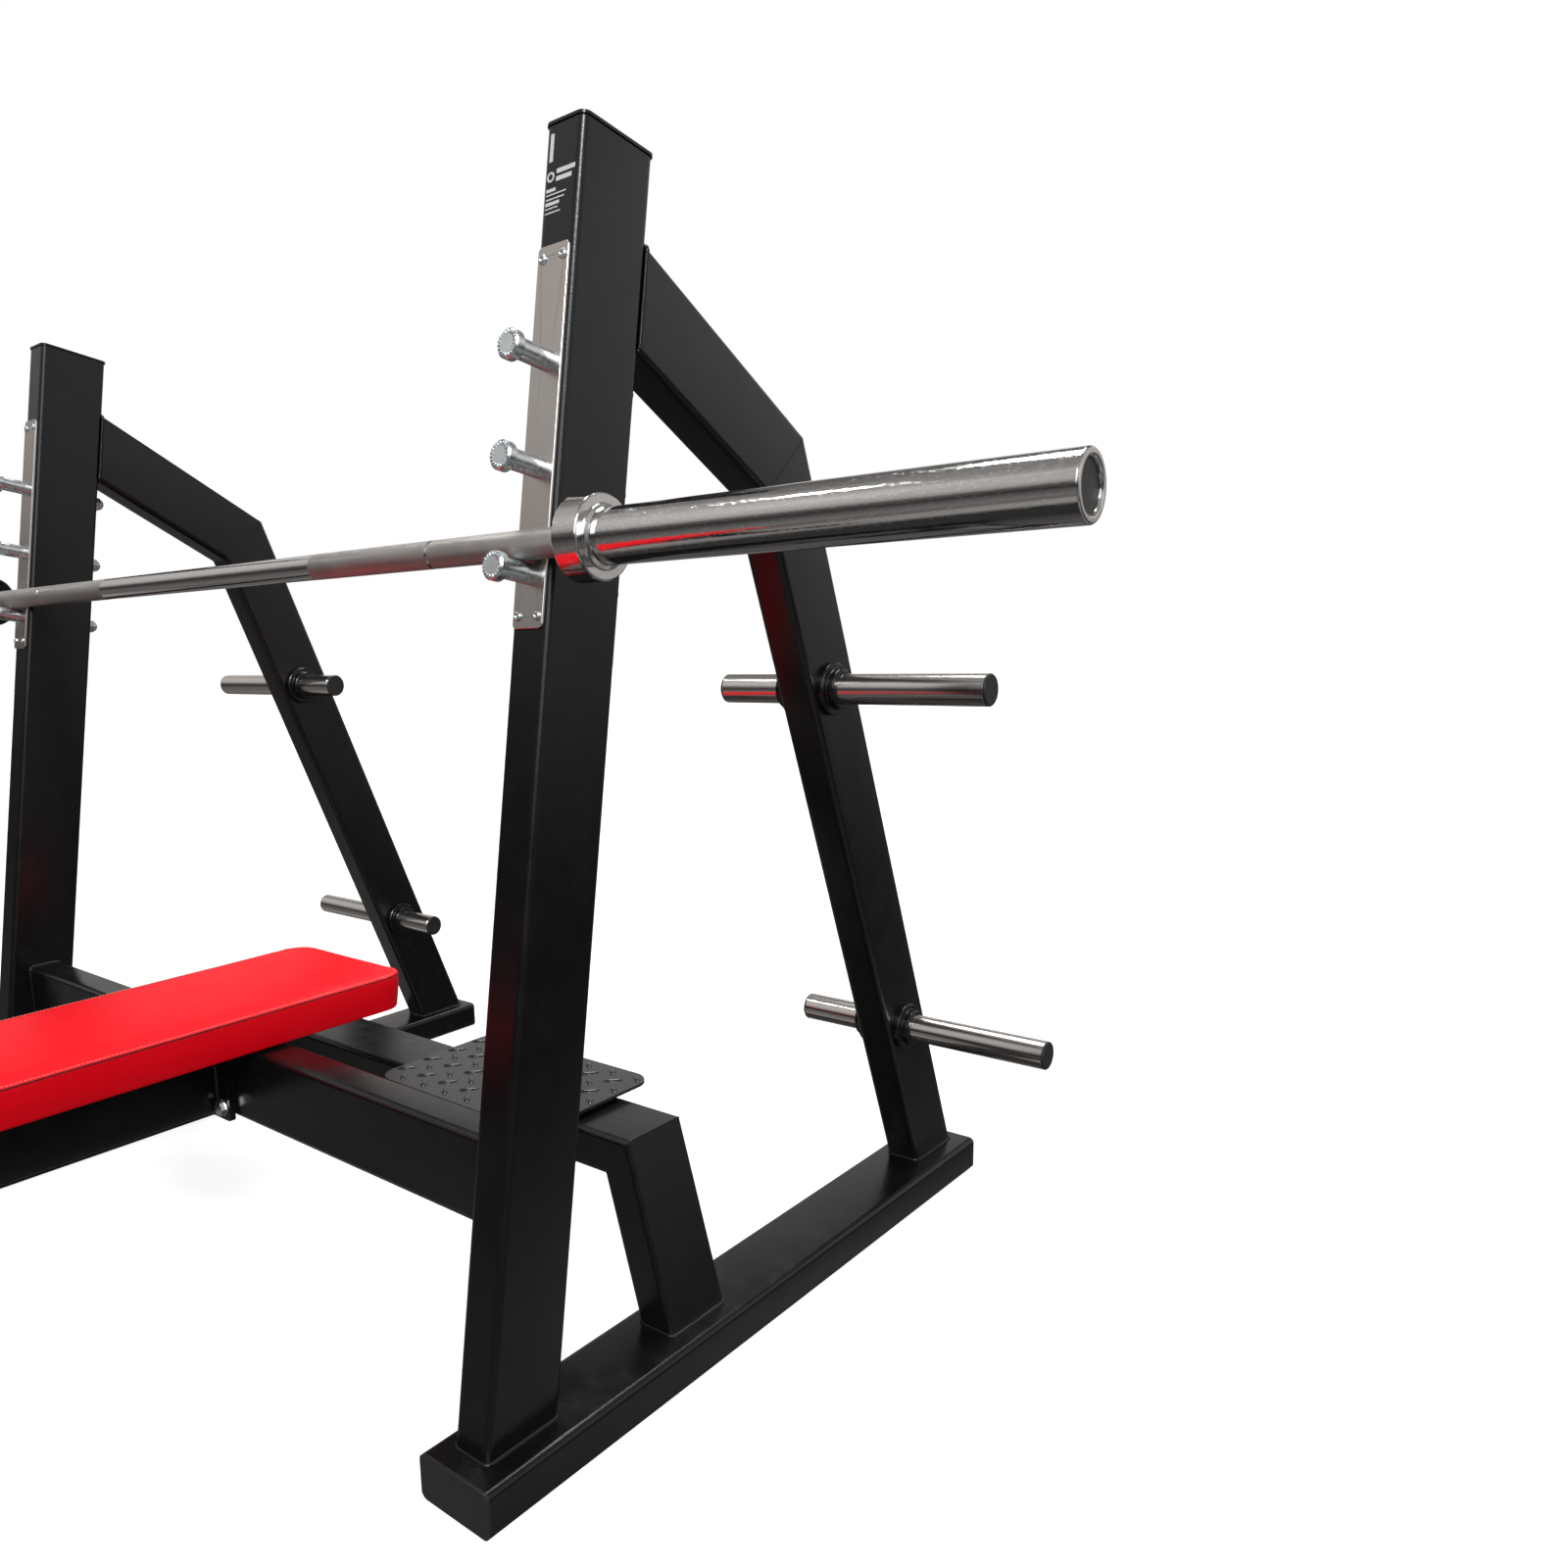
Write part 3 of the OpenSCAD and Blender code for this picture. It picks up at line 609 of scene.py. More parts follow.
def side_welds(side, word, seed):
    """Beads of one side frame and its ends of the beam and the bridge, each with its own seed."""
    x = side * UPRIGHT_X
    half_t, half_w = TUBE_T / 2, TUBE_W / 2

    half = TUBE_W / 2 / math.cos(RAKE)
    base = Vector((x, UPRIGHT_FRONT + half, RAIL_TOP))
    tube_weld("weld_upright_foot_" + word, base, EX, EY, half_t, half, seed)

    arm = (KNEE - ARM_TOP).normalized()
    cut = TUBE_W / (arm.x * BACK.y + arm.y * BACK.z)
    arm_middle = side_point(x, ARM_TOP) - UP * cut / 2
    tube_weld("weld_arm_" + word, arm_middle, EX, UP, half_t, cut / 2, seed + 1)

    knee_way, knee_factor = mitre(ARM_TOP, KNEE, LEG_FOOT)
    reach = TUBE_W * knee_factor
    way = side_point(0, knee_way)
    knee = side_point(x, KNEE) + way * reach / 2
    sizes = half_t - GROUND, reach / 2 - GROUND
    tube_weld("weld_knee_" + word, knee, EX, way, *sizes, seed + 2, 1.5 * MM)

    leg = (LEG_FOOT - KNEE).normalized()
    foot_half = TUBE_W / -leg.y / 2
    foot = Vector((x, LEG_FOOT.x - foot_half, RAIL_TOP))
    tube_weld("weld_leg_foot_" + word, foot, EX, EY, half_t, foot_half, seed + 3)

    low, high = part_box("front_beam")
    middle = (low + high) / 2
    end = Vector((side * (UPRIGHT_X - half_t), middle.y, middle.z))
    tube_weld("weld_beam_" + word, end, EY, EZ, half_t, half_w, seed + 4)

    low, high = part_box("rear_bridge")
    bridge_y = (low.y + high.y) / 2
    bend_way, bend_factor = mitre(Vector((0, BRIDGE_CORNER.y)), BRIDGE_CORNER, BRIDGE_FOOT)
    bend = TUBE_T * bend_factor
    lean = Vector((side * bend_way.x, 0, bend_way.y))
    corner = Vector((side * BRIDGE_CORNER.x, bridge_y, BRIDGE_CORNER.y)) + lean * bend / 2
    sizes = half_w - GROUND, bend / 2 - GROUND
    tube_weld("weld_bridge_corner_" + word, corner, EY, lean, *sizes, seed + 5, 1.4 * MM)

    splay = (BRIDGE_FOOT - BRIDGE_CORNER).normalized()
    rest = TUBE_T / -splay.y / 2
    sole = Vector((side * (BRIDGE_FOOT.x - rest), bridge_y, RAIL_TOP))
    tube_weld("weld_bridge_foot_" + word, sole, EY, EX, half_w, rest, seed + 6)


def bench_welds():
    """Beads round the bench's tube at its flange, and round both ends of its leg."""
    tube_low, tube_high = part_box("bench_tube")
    flange_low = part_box("bench_flange")[0]
    middle = Vector((0, flange_low.y, (tube_low.z + tube_high.z) / 2))
    ring = rounded_loop(middle, EX, EZ, TUBE_T / 2, TUBE_W / 2, TUBE_R)
    open_ring = ring[5:] + ring[:1]  # leaves out the first corner
    weld("weld_bench_flange", open_ring, EY, 3.2 * MM, False, 91)
    leg_low, leg_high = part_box("bench_front_leg")
    leg = (leg_low + leg_high) / 2
    for z, word, seed in ((leg_low.z, "foot", 92), (leg_high.z, "top", 94)):
        at = Vector((0, leg.y, z))
        tube_weld("weld_bench_leg_" + word, at, EX, EY, TUBE_T / 2, TUBE_W / 2, seed)


side_welds(-1, "left", 10)
side_welds(1, "right", 50)
bench_welds()


# ---------------------------------------------------------------- tread plates

# Raised lenses: size, how deep they sink into the plate, spacing across and along,
# first place, clear margin at the plate's edges, and the two (shift, angle) rows they form
LENS_LENGTH = 0.027
LENS_WIDTH = 0.0085
LENS_HEIGHT = 0.0023
LENS_SINK = 0.3 * MM
LENS_PITCH = (0.042, 0.0445)
LENS_START = (0.170, 0.192)
LENS_MARGIN = 0.011
LENS_ROWS = ((0.0, 47), (0.5, -43))
LENGTH_STEPS, WIDTH_STEPS = 8, 6


def add_lens(parts, centre, angle):
    """One raised lens: pointed ends, rounded back, sunk a little into the plate."""
    along = Vector((math.cos(angle), math.sin(angle), 0))
    across = Vector((-along.y, along.x, 0))
    rings = []
    for i in range(-LENGTH_STEPS, LENGTH_STEPS + 1):
        u = math.sin(math.pi / 2 * i / LENGTH_STEPS)
        width = LENS_WIDTH / 2 * max(1 - u * u, 0.004) ** 0.8
        line = centre + along * u * LENS_LENGTH / 2
        ring = []
        for k in range(-WIDTH_STEPS, WIDTH_STEPS + 1):
            v = math.sin(math.pi / 2 * k / WIDTH_STEPS)
            rise = LENS_HEIGHT * (1 - abs(v) ** 3.2) * (1 - abs(u) ** 4)
            ring.append(line + across * v * width + EZ * rise)
        ring += [line + across * v * width - EZ * LENS_SINK for v in (1, -1)]
        rings.append(ring)
    parts.loft(rings)


def tread(side, word):
    """The lens pattern of one tread plate, left out where it would cross the plate's edge."""
    low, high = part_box("spotter_plate_" + word)
    inner, outer = sorted((abs(low.x), abs(high.x)))
    parts = Parts()
    for row in range(-2, 8):
        for column in range(-2, 10):
            for shift, angle in LENS_ROWS:
                x = LENS_START[0] + (column + shift) * LENS_PITCH[0]
                y = LENS_START[1] + (row + shift) * LENS_PITCH[1]
                inside_x = inner + LENS_MARGIN < x < outer - LENS_MARGIN
                if inside_x and low.y + LENS_MARGIN < y < high.y - LENS_MARGIN:
                    add_lens(parts, Vector((side * x, y, high.z)), math.radians(angle) * side)
    place(parts.mesh("tread_lenses_" + word, LENS_COAT), "frame")


for side, word in SIDES:
    tread(side, word)


# ---------------------------------------------------------------- catches and wear plates

# Catch pin heads: how far their face stands out from the upright, and their raised ticks
PIN_FACE = 0.053
TICKS = 18
TICK_START = 0.0083
TICK_PROFILE = (
    (0, 0.0002), (0.0004, 0.0007), (0.0012, 0.0009),
    (0.0028, 0.0009), (0.0036, 0.0007), (0.0040, 0.0002),
)

# Wear plates: thickness, both ends up the upright, and how far in their screws sit
WEAR_T = 0.003
WEAR_ENDS = (0.812, 1.170)
SCREW_INSET = 0.012
SCREW_X = 0.013

# A button head and its socket as (height, radius), the two rings of the socket's wall, and
# a hexagon's flat to corner ratio, opened a little
SCREW_SEGMENTS = 24
SCREW_PROFILE = (
    (-0.0010, 0.0050), (0.0002, 0.0050), (0.0008, 0.0049), (0.0017, 0.0043), (0.0024, 0.0034),
    (0.0026, 0.0027), (0.0025, 0.0021), (0.0008, 0.0020), (0.0008, 0.0002),
)
SOCKET_RINGS = slice(6, 8)
HEXAGON = 0.866 * 1.1


def pin_marks(side, word):
    """Raised radial ticks round the face of each catch pin's head."""
    parts = Parts()
    for up in CATCH_UP:
        face = on_upright(side, 0, PIN_FACE, up)
        for i in range(TICKS):
            t = 2 * math.pi * (i + 0.3) / TICKS
            way = EX * math.cos(t) + UP * math.sin(t)
            parts.loft(turned_rings(face + way * TICK_START, way, TICK_PROFILE, 8))
    place(parts.mesh("pin_marks_" + word, ZINC), "frame")


def screw_heads():
    """Button-head screws with a hexagon socket, in the corners of both wear plates."""
    parts = Parts()
    for side, _ in SIDES:
        for x in (-SCREW_X, SCREW_X):
            for up in (WEAR_ENDS[0] + SCREW_INSET, WEAR_ENDS[1] - SCREW_INSET):
                base = on_upright(side, x, WEAR_T, up)
                rings = turned_rings(base, -BACK, SCREW_PROFILE, SCREW_SEGMENTS)
                for ring in rings[SOCKET_RINGS]:
                    middle = sum(ring, Vector()) / len(ring)
                    for i, v in enumerate(ring):
                        turn = (i / SCREW_SEGMENTS * 2 * math.pi) % (math.pi / 3) - math.pi / 6
                        ring[i] = middle + (v - middle) * (HEXAGON / math.cos(turn))
                parts.loft(rings)
    piece = place(parts.mesh("wear_screw_heads", ZINC), "frame")
    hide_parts("wear_plate_screws")


for side, word in SIDES:
    pin_marks(side, word)
screw_heads()

# Printed label: ink thickness, bars as (x, up, width, height), a block of rows as (width, height)
# from their left end, first height up and spacing, and the ring's place, radii and segments
INK = 0.00016
LABEL_BARS = [
    (-0.0145, 1.262, 0.0045, 0.026),
    (0.006, 1.2385, 0.024, 0.0042),
    (0.004, 1.2315, 0.020, 0.0042),
]
LABEL_ROWS = (
    (0.012, 3 * MM), (0.026, 1.2 * MM), (0.024, 1.2 * MM),
    (0.018, 3 * MM), (0.016, 1.2 * MM), (0.020, 1.2 * MM),
)
ROWS_LEFT, ROWS_UP, ROWS_STEP = -0.018, 1.2225, 0.0042
RING_PLACE = (-0.0135, 1.235)
RING_RADII = (0.0028, 0.0048)
RING_SEGMENTS = 24


def printed_label():
    """A plain label of bars and a ring near the top of the right upright, with no lettering."""
    parts = Parts()
    rows = [
        (ROWS_LEFT + width / 2, ROWS_UP - ROWS_STEP * i, width, height)
        for i, (width, height) in enumerate(LABEL_ROWS)
    ]
    for x, up, width, height in LABEL_BARS + rows:
        centre = on_upright(1, x, INK / 2, up)
        parts.box(centre, EX * width / 2, UP * height / 2, -BACK * INK / 2)
    centre = on_upright(1, RING_PLACE[0], 0, RING_PLACE[1])
    inner, outer = RING_RADII
    for i in range(RING_SEGMENTS):
        angles = [2 * math.pi * (i + k) / RING_SEGMENTS for k in (0, 1)]
        a, b = (EX * math.cos(t) + UP * math.sin(t) for t in angles)
        corners = [a * inner, a * outer, b * outer, b * inner]
        parts.loft([[centre + c - BACK * out for c in corners] for out in (0.0, INK)])
    place(parts.mesh("printed_label", PRINT, smooth=False), "frame")


printed_label()


# ---------------------------------------------------------------- barbell

# Shaft: radii of the plain, knurled and ring mark lengths, the knurled length of one half,
# the ring mark in it, and the short tapers between them and at the end
SHAFT_R = 0.014
KNURL_R = SHAFT_R + 0.00013
MARK_R = SHAFT_R - 0.0004
KNURL = (0.2510, 0.6440)
RING_MARK = (0.4530, 0.4570)
KNURL_TAPER = 0.0005
MARK_TAPER = 0.0002
END_TAPER = 0.001


def bar_shaft():
    """The shaft, turned with its knurled zones a little proud and a groove at each ring mark."""
    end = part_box("bar_shaft")[1].x
    half = [
        (KNURL[0] - KNURL_TAPER, SHAFT_R), (KNURL[0], KNURL_R),
        (RING_MARK[0], KNURL_R), (RING_MARK[0] + MARK_TAPER, MARK_R),
        (RING_MARK[1] - MARK_TAPER, MARK_R), (RING_MARK[1], KNURL_R),
        (KNURL[1], KNURL_R), (KNURL[1] + KNURL_TAPER, SHAFT_R),
        (end - END_TAPER, SHAFT_R), (end, SHAFT_R - END_TAPER),
    ]
    profile = [(-x, r) for x, r in reversed(half)] + half
    parts = Parts()
    parts.loft(turned_rings(Vector((0, BAR_Y, BAR_Z)), EX, profile, 64))
    piece = parts.mesh("bar_shaft_turned", CHROME)
    piece.data.materials.append(KNURLED)
    for face in piece.data.polygons:
        x = abs(face.center.x)
        if KNURL[0] < x < KNURL[1] and not RING_MARK[0] < x < RING_MARK[1]:
            face.material_index = 1
    piece.data.set_sharp_from_angle(angle=math.radians(30))
    place(piece, "bar")
    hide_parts("bar_shaft")


bar_shaft()


# ---------------------------------------------------------------- bench pad

# Pad: height of the seam, corner radius in plan, how far a point may swell, how far the sides
# draw in at mid length, the pocket's gap to the outline, and how far the lip hangs down
SEAM_Z = 0.394
PAD_CORNER = 0.035
PAD_CAP = 0.0022
PULL_IN = 0.0012
POCKET_GAP = 0.0117
PAD_LIP = 0.0030
PAD_LOW, PAD_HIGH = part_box("pad_cushion")
PAD_MIDDLE = (PAD_LOW + PAD_HIGH) / 2
PAD_HALF = (PAD_HIGH - PAD_LOW) / 2

# Steps of the pad's outline along its long and short sides and round a corner, and of its cloth
LONG_STEPS, SHORT_STEPS, CORNER_STEPS = 180, 30, 9
CLOTH_FRAMES = 20

# Pad surface: pitch, depth and fade of the puckers at the seam, swing of the sides, coarse and
# fine swing of the top, and how far in from the outline the top's swing is full
PUCKER_PITCH = 0.013
PUCKER_DEPTH = 0.22 * MM
PUCKER_FADE = 0.006
SIDE_SWING = 0.4 * MM
TOP_SWINGS = (0.9 * MM, 0.3 * MM)
FULL_SWING = 0.03


def pad_outline(inset):
    """The pad's outline in plan, drawn in by an inset, always with the same number of points."""
    centre = Vector((PAD_MIDDLE.x, PAD_MIDDLE.y, 0))
    radius = max(PAD_CORNER - inset, 0.006)
    half_x, half_y = PAD_HALF.x - inset, PAD_HALF.y - inset
    corners = rounded_loop(centre, EX, EY, half_x, half_y, radius, CORNER_STEPS)
    points = []
    for corner in range(4):
        first = corner * (CORNER_STEPS + 1)
        arc = corners[first:first + CORNER_STEPS + 1]
        following = corners[(first + CORNER_STEPS + 1) % len(corners)]
        steps = SHORT_STEPS if corner % 2 == 0 else LONG_STEPS
        points += arc + [arc[-1].lerp(following, i / steps) for i in range(1, steps)]
    return points


def pad_profile():
    """(inset, height) pairs from the board's pocket, round the side, over the seam, to the top."""
    bottom = PAD_LOW.z
    pocket_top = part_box("pad_board")[1].z + 0.0003
    pocket = [(POCKET_GAP, pocket_top), (POCKET_GAP, bottom + 0.006), (POCKET_GAP, bottom + 0.0002)]
    lip = [
        (0.0100, bottom - 0.0016), (0.0076, bottom - PAD_LIP),
        (0.0056, bottom - 0.0022), (0.0047, bottom + 0.0008),
    ]
    side = []
    for i in range(6):
        rise = 0.0060 + 0.0062 * i
        side.append((0.0010 + 0.0042 * (1 - rise / 0.040) ** 2, bottom + rise))
    seam = [
        (0.0010, -0.0032), (0.0017, -0.0014), (0.0036, -0.0006), (0.0036, 0.0001),
        (0.0012, 0.0005), (0.0014, 0.0015), (0.0028, 0.0023), (0.0055, 0.0027),
    ]
    top = [
        (inset / 1000, 0.0026 + 0.0050 * math.sin(math.pi / 2 * (inset - 5) / 112))
        for inset in range(10, 116, 7)
    ]
    return pocket + lip + side + [(inset, SEAM_Z + rise) for inset, rise in seam + top]


def pad_blank():
    """A plain closed pad for the cloth to swell, capped by strips across its top and its pocket."""
    verts = []
    profile = pad_profile()
    for inset, z in profile:
        for p in pad_outline(inset):
            pull = PULL_IN * math.cos(math.pi / 2 * (p.y - PAD_MIDDLE.y) / PAD_HALF.y)
            verts.append(p + Vector((-math.copysign(pull, p.x) if inset < PAD_CORNER else 0, 0, z)))
    count = len(verts) // len(profile)
    faces = ring_faces(len(profile), count)
    head = CORNER_STEPS + SHORT_STEPS // 2
    for first in (0, (len(profile) - 1) * count):
        for k in range(count // 2):
            loop = (head - k, head - k - 1, head + k + 1, head + k)
            faces.append(tuple(dict.fromkeys(first + i % count for i in loop)))
    return add_mesh("bench_pad", verts, faces, VINYL)


def swell(piece):
    """Inflates the pad as cloth, held at its underside and seam, each point's movement capped."""
    rest = [v.co.copy() for v in piece.data.vertices]

    def is_held(p):
        underside = p.z < PAD_LOW.z + 0.003
        pocket = outline_distance(p) > 0.010 and p.z < SEAM_Z - 0.005
        return underside or pocket or abs(p.z - SEAM_Z) < 0.0015

    held = piece.vertex_groups.new(name="held")
    held.add([i for i, p in enumerate(rest) if is_held(p)], 1.0, "REPLACE")
    cloth = piece.modifiers.new("cloth", "CLOTH")
    settings = cloth.settings
    settings.use_pressure = True
    settings.uniform_pressure_force = 4.0
    settings.effector_weights.gravity = 0
    settings.vertex_group_mass = "held"
    settings.quality = 5
    settings.tension_stiffness = 20
    settings.compression_stiffness = 20
    settings.shear_stiffness = 8
    settings.bending_stiffness = 0.6
    cloth.collision_settings.use_collision = False
    cloth.point_cache.frame_start = 1
    cloth.point_cache.frame_end = CLOTH_FRAMES
    scene = bpy.context.scene
    for step in range(1, CLOTH_FRAMES + 1):
        scene.frame_set(step)
    graph = bpy.context.evaluated_depsgraph_get()
    moved = [v.co.copy() for v in piece.evaluated_get(graph).data.vertices]
    piece.modifiers.remove(cloth)
    scene.frame_set(1)
    for vertex, start, end in zip(piece.data.vertices, rest, moved):
        change = end - start
        if change.length > PAD_CAP:
            change *= PAD_CAP / change.length
        vertex.co = start + change
    piece.vertex_groups.clear()


def from_core(p):
    """A point's x and y beyond the rectangle between the centres of the pad's corners."""
    dx = abs(p.x - PAD_MIDDLE.x) - (PAD_HALF.x - PAD_CORNER)
    dy = abs(p.y - PAD_MIDDLE.y) - (PAD_HALF.y - PAD_CORNER)
    return dx, dy


def outline_distance(p):
    """How far a point in plan lies inside the pad's outline."""
    dx, dy = from_core(p)
    return PAD_CORNER - (math.hypot(max(dx, 0), max(dy, 0)) + min(max(dx, dy), 0))


def outline_way(p):
    """The direction square to the pad's outline, nearest a point."""
    dx, dy = (max(d, 0.0) for d in from_core(p))
    way = Vector((math.copysign(dx, p.x - PAD_MIDDLE.x), math.copysign(dy, p.y - PAD_MIDDLE.y), 0))
    return way.normalized() if way.length > 1e-6 else EX * math.copysign(1, p.x)


def shape_pad(piece):
    """Puckers that fade away from the seam, soft unevenness of the foam, and the pad's limits."""
    low, high = PAD_LOW, PAD_HIGH
    for vertex in piece.data.vertices:
        co = vertex.co
        depth = outline_distance(co)
        rise = co.z - SEAM_Z
        if depth < 0.008 and co.z > low.z + 0.003 and abs(rise + 0.0002) > 0.0009:
            turn = (co.y + co.x) * 2 * math.pi / PUCKER_PITCH
            pucker = PUCKER_DEPTH * math.sin(turn + 4 * noise.noise(co * 18))
            fade = math.exp(-abs(rise + 0.004) / PUCKER_FADE)
            co += outline_way(co) * (pucker * fade + SIDE_SWING * noise.noise(co * 14))
        if rise > 0:
            swing = noise.noise(co * 8) * TOP_SWINGS[0] + noise.noise(co * 24) * TOP_SWINGS[1]
            co.z += swing * min(1, depth / FULL_SWING)
        co.x = max(low.x, min(high.x, co.x))
        co.y = max(low.y, min(high.y, co.y))
        co.z = max(low.z - PAD_LIP, min(high.z, co.z))


def bench_pad():
    """The upholstered pad: swollen as cloth between its seams, smoothed once, then puckered."""
    piece = pad_blank()
    swell(piece)
    smooth = piece.modifiers.new("smooth", "SUBSURF")
    smooth.levels = 1
    smooth.render_levels = 1
    bpy.context.view_layer.objects.active = piece
    bpy.ops.object.modifier_apply(modifier=smooth.name)
    shape_pad(piece)
    piece.data.shade_smooth()
    place(piece, "frame")
    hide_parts("pad_cushion")
    return piece


PAD = bench_pad()

ABOVE_PAD = 0.5

# Stitches: inset from the outline, half their pitch, how deep they press into the vinyl, and
# one's (length along, radius) profile
STITCH_INSET = 0.0062
STITCH_STEP = 2.4 * MM
STITCH_SINK = 0.04 * MM
STITCH_PROFILE = (
    (0.0, 0.0001), (0.0003, 0.0004), (0.0010, 0.0005),
    (0.0022, 0.0005), (0.0029, 0.0004), (0.0032, 0.0001),
)

# The seam's dark strip of painted shade: inset from the outline, how far it lies below the
# seam's height, spacing of its points, and its section as (up, inwards)
SEAM_INSET = 0.0017
SEAM_DROP = 0.25 * MM
SEAM_STEP = 4 * MM
SEAM_SECTION = ((-0.00065, 0.0), (0.0, -0.0006), (0.00065, 0.0), (0.0, 0.0009))


def topstitch():
    """Short stitches along the edge of the top panel, lying on the finished pad's surface."""
    parts = Parts()
    line = resample(pad_outline(STITCH_INSET), STITCH_STEP, True)
    for i in range(0, len(line) - 1, 2):
        _, start, normal, _ = PAD.ray_cast(line[i] + EZ * ABOVE_PAD, -EZ)
        along = line[i + 1] - line[i]
        along = (along - normal * along.dot(normal)).normalized()
        parts.loft(turned_rings(start - normal * STITCH_SINK, along, STITCH_PROFILE, 6))
    place(parts.mesh("pad_topstitch", THREAD), "frame")


def seam_shade_strip():
    """A dark strip lying in the groove all round the pad: painted shade where the groove is shaded.
    """
    line = resample(pad_outline(SEAM_INSET), SEAM_STEP, True)
    verts = []
    for point in line:
        way = outline_way(point)
        for rise, depth in SEAM_SECTION:
            verts.append(point - way * depth + EZ * (SEAM_Z - SEAM_DROP + rise))
    faces = ring_faces(len(line), len(SEAM_SECTION), closed=True)
    place(add_mesh("pad_seam_shade_strip", verts, faces, SEAM_SHADE_PAINT), "frame")


topstitch()
seam_shade_strip()


# ---------------------------------------------------------------- stage

FLOOR_RADIUS = 30
FLOOR_DROP = 0.5 * MM
BACKDROP_RADIUS = 28


def floor():
    """A plain pale floor, which takes soft shadows but throws no light back."""
    material, tree, shader, where = start_material("floor_look")
    cloud = grain(tree, where, 1.5, 3)
    colour = blend_colour(tree, cloud, (0.34, 0.34, 0.34), (0.37, 0.37, 0.37))
    tree.links.new(colour, shader.inputs["Base Color"])
    shader.inputs["Emission Color"].default_value = (1, 1, 1, 1)
    shader.inputs["Emission Strength"].default_value = 0.84
    shader.inputs["Roughness"].default_value = 0.9
    rim = turned_rings(Vector(), EZ, [(-FLOOR_DROP, FLOOR_RADIUS)], 64)[0]
    piece = add_mesh("floor", rim, [tuple(range(len(rim)))], material, False)
    piece.visible_glossy = False
    piece.visible_diffuse = False


def backdrop():
    """A pale dome far behind everything, seen by the camera alone."""
    material = bpy.data.materials.new("backdrop_look")
    material.use_nodes = True
    tree = material.node_tree
    tree.nodes.clear()
    glow = add_node(tree, "Emission", {"Color": (1, 1, 1, 1), "Strength": 1.0})
    output = add_node(tree, "OutputMaterial")
    tree.links.new(glow.outputs[0], output.inputs["Surface"])
    mesh = bpy.data.meshes.new("backdrop")
    bm = bmesh.new()
    bmesh.ops.create_uvsphere(bm, u_segments=48, v_segments=24, radius=BACKDROP_RADIUS)
    bm.to_mesh(mesh)
    bm.free()
    mesh.materials.append(material)
    piece = add_object("backdrop", mesh)
    piece.visible_diffuse = False
    piece.visible_glossy = False
    piece.visible_transmission = False
    piece.visible_shadow = False


# The room's grey level by height on the unit sphere: ahead of the rack, behind it, and to its right
ROOM_FRONT = (
    (-1, 0.03), (-0.74, 0.04), (-0.66, 0.34), (-0.54, 0.30), (-0.45, 0.12), (-0.34, 0.18),
    (-0.12, 0.10), (-0.03, 0.05), (0.03, 0.05), (0.17, 0.14), (0.23, 0.38), (0.35, 0.54),
    (0.50, 0.62), (0.62, 0.58), (0.78, 0.36), (1, 0.22),
)
ROOM_BACK = (
    (-1, 0.10), (-0.5, 0.10), (-0.15, 0.20), (-0.03, 0.07), (0.07, 0.12), (0.16, 0.50),
    (0.30, 0.66), (0.44, 0.52), (0.54, 0.10), (1, 0.22),
)
ROOM_RIGHT = (
    (-1, 0.06), (-0.66, 0.16), (-0.52, 0.34), (-0.42, 0.12), (-0.35, 0.05), (-0.18, 0.05),
    (0, 0.38), (0.20, 0.70), (0.30, 0.80), (0.45, 0.48), (1, 0.22),
)
STRIP_COLOUR = (2.6, 2.7, 2.8)


def height_ramp(tree, height, stops):
    """A grey level by height on the unit sphere, from (height, level) stops."""
    node = add_node(tree, "ValToRGB", {0: spread(tree, height, 0, 1, -1, 1)})
    elements = node.color_ramp.elements
    while len(elements) < len(stops):
        elements.new(0.5)
    for element, (at, level) in zip(elements, stops):
        element.position = (at + 1) / 2
        element.color = (level, level * 0.965, level * 0.94, 1)
    return node.outputs[0]


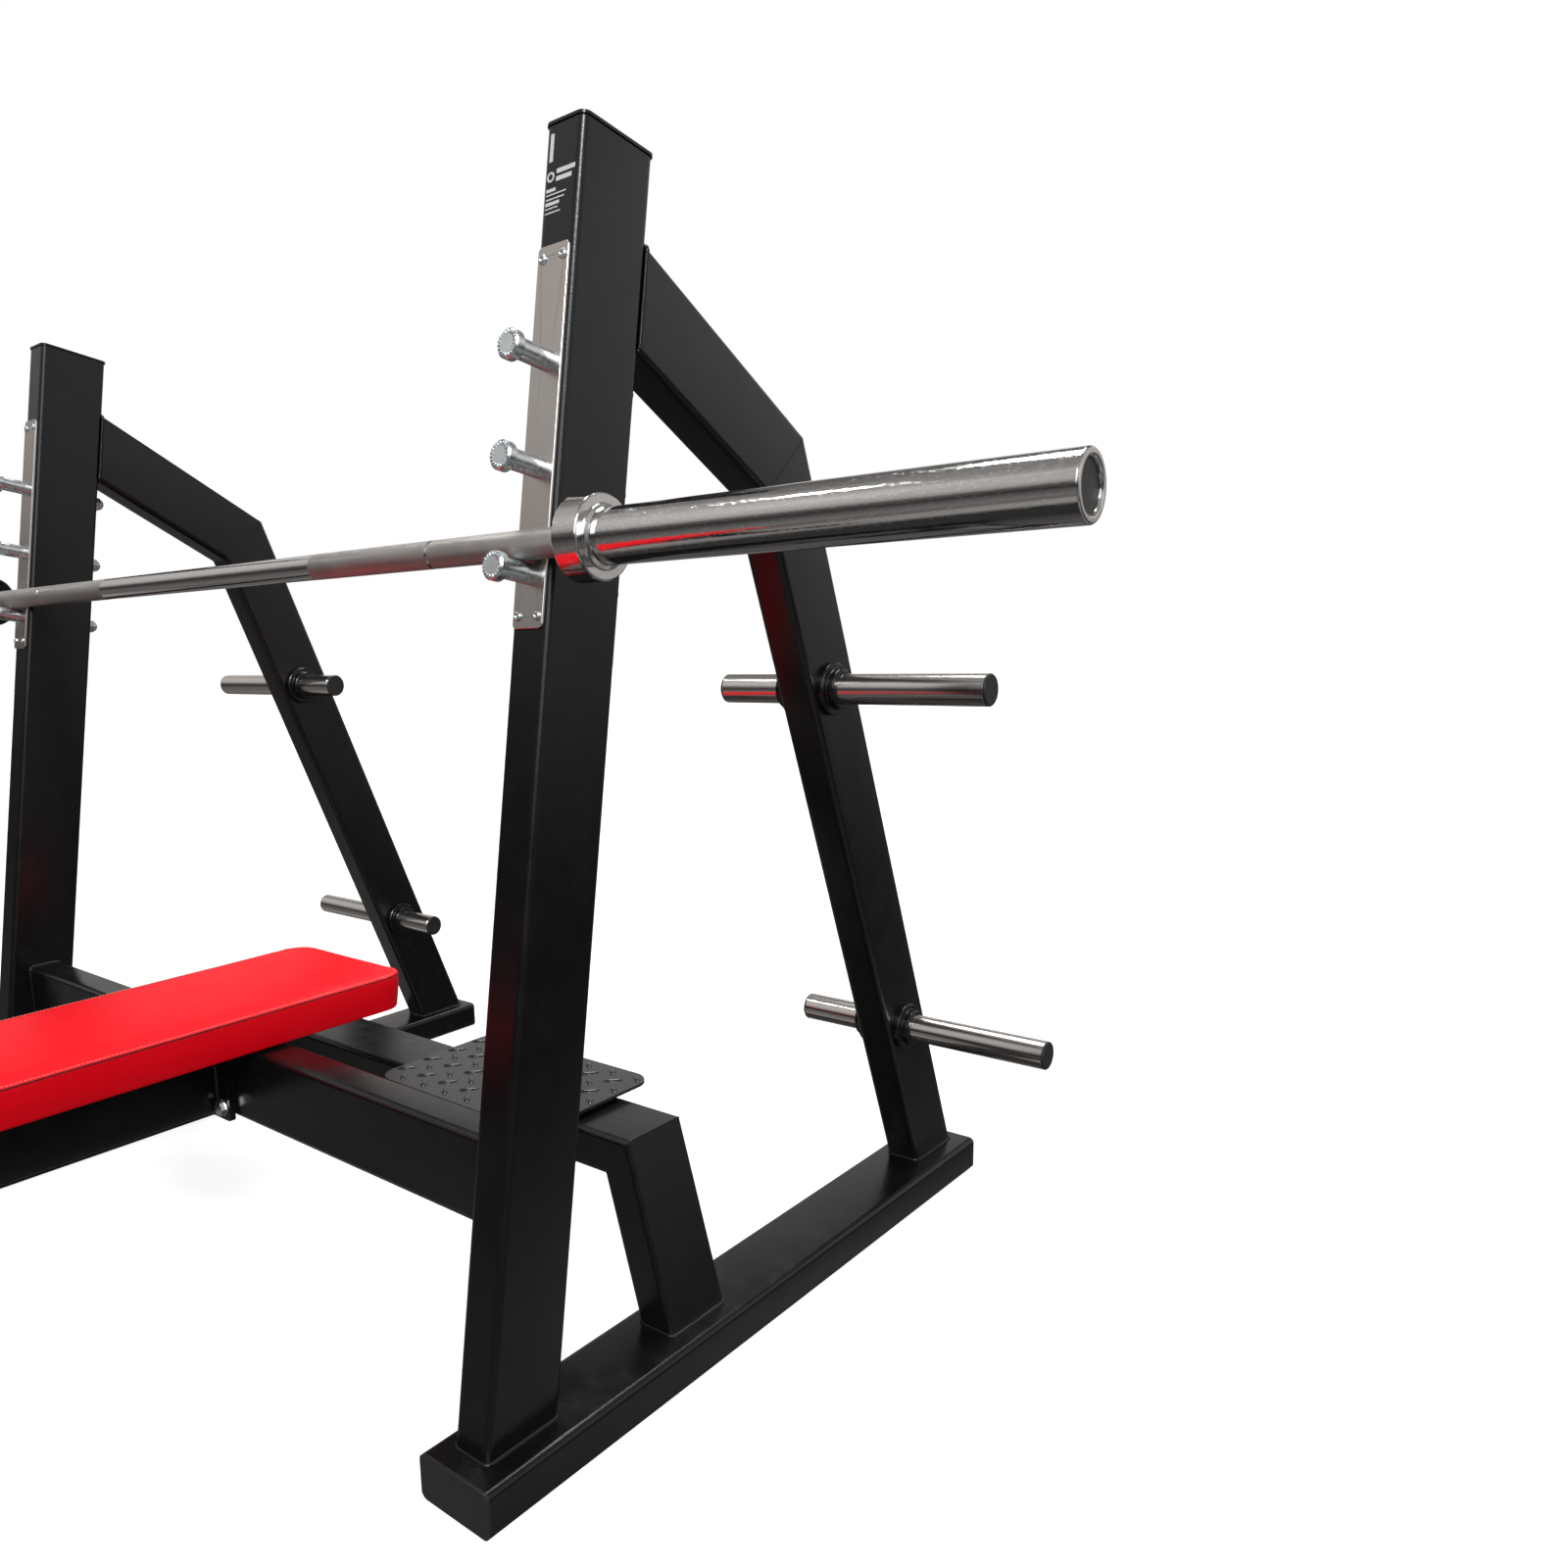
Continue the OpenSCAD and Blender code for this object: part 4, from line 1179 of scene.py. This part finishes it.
def room_light():
    """A dim room for reflections: grey floor, dark horizon, pale walls, an upright strip lamp."""
    world = bpy.data.worlds.new("room")
    world.use_nodes = True
    bpy.context.scene.world = world
    tree = world.node_tree
    sky = tree.nodes["Background"]
    way = add_node(tree, "TexCoord").outputs["Generated"]
    parts = add_node(tree, "SeparateXYZ", {0: way})
    across, away, height = (parts.outputs[axis] for axis in "XYZ")
    front, back, right = (
        height_ramp(tree, height, stops) for stops in (ROOM_FRONT, ROOM_BACK, ROOM_RIGHT)
    )

    def both(a, b):
        return maths(tree, "MULTIPLY", a, b)

    colour = blend_colour(tree, spread(tree, away, 0, 1, -0.15, 0.35), front, back)
    beside = both(spread(tree, across, 0, 1, 0.15, 0.45), spread(tree, away, 0, 1, -0.30, 0.10))
    colour = blend_colour(tree, beside, colour, right)
    off_centre = maths(tree, "ABSOLUTE", maths(tree, "ADD", across, away))
    strip = both(spread(tree, off_centre, 1, 0, 0.28, 0.55), spread(tree, across, 0, 1, 0.1, 0.2))
    rise = both(spread(tree, height, 0, 1, 0.12, 0.20), spread(tree, height, 1, 0, 0.66, 0.72))
    colour = blend_colour(tree, both(strip, rise), colour, STRIP_COLOUR)
    tree.links.new(colour, sky.inputs["Color"])
    patches = spread(tree, grain(tree, way, 2.6, 2, (1, 1, 0.45)), 0.82, 1.18)
    tree.links.new(patches, sky.inputs["Strength"])


def lamp(name, direction, strength, angle):
    """A far lamp in a direction; its angle in degrees softens its shadows."""
    data = bpy.data.lights.new(name, "SUN")
    data.energy = strength
    data.angle = math.radians(angle)
    add_object(name, data).rotation_euler = Vector(direction).to_track_quat("Z", "Y").to_euler()


# Camera: heading, tilt and roll in degrees, place, focal length in mm, and shifts
CAMERA_TURNS = (42.289, -9.876, -1.949)
CAMERA_PLACE = (1.411553, -0.749679, 0.845686)
CAMERA_LENS = 27.524
CAMERA_SHIFTS = (0.10996, 0.03642)


def photo_camera():
    """The viewing angle."""
    heading, tilt, roll = (math.radians(a) for a in CAMERA_TURNS)
    ahead = Vector((
        -math.sin(heading) * math.cos(tilt), math.cos(heading) * math.cos(tilt), math.sin(tilt),
    ))
    level = Vector((math.cos(heading), math.sin(heading), 0))
    above = level.cross(ahead)
    right = level * math.cos(roll) + above * math.sin(roll)
    top = above * math.cos(roll) - level * math.sin(roll)
    data = bpy.data.cameras.new("camera")
    data.sensor_width = 36
    data.lens = CAMERA_LENS
    data.shift_x, data.shift_y = CAMERA_SHIFTS
    data.clip_end = 100
    camera = add_object("camera", data)
    turned = Matrix((right, top, -ahead)).transposed().to_4x4()
    camera.matrix_world = Matrix.Translation(CAMERA_PLACE) @ turned
    bpy.context.scene.camera = camera


floor()
backdrop()
room_light()
lamp("front_lamp", (0.57, -0.56, 0.60), 1.22, 10)
lamp("ceiling_lamp", (-0.15, 0.35, 0.92), 2.3, 34)
lamp("strip_lamp", (-0.535, -0.286, 0.794), 0.16, 2.2)
photo_camera()
bpy.context.scene.view_settings.view_transform = "Standard"
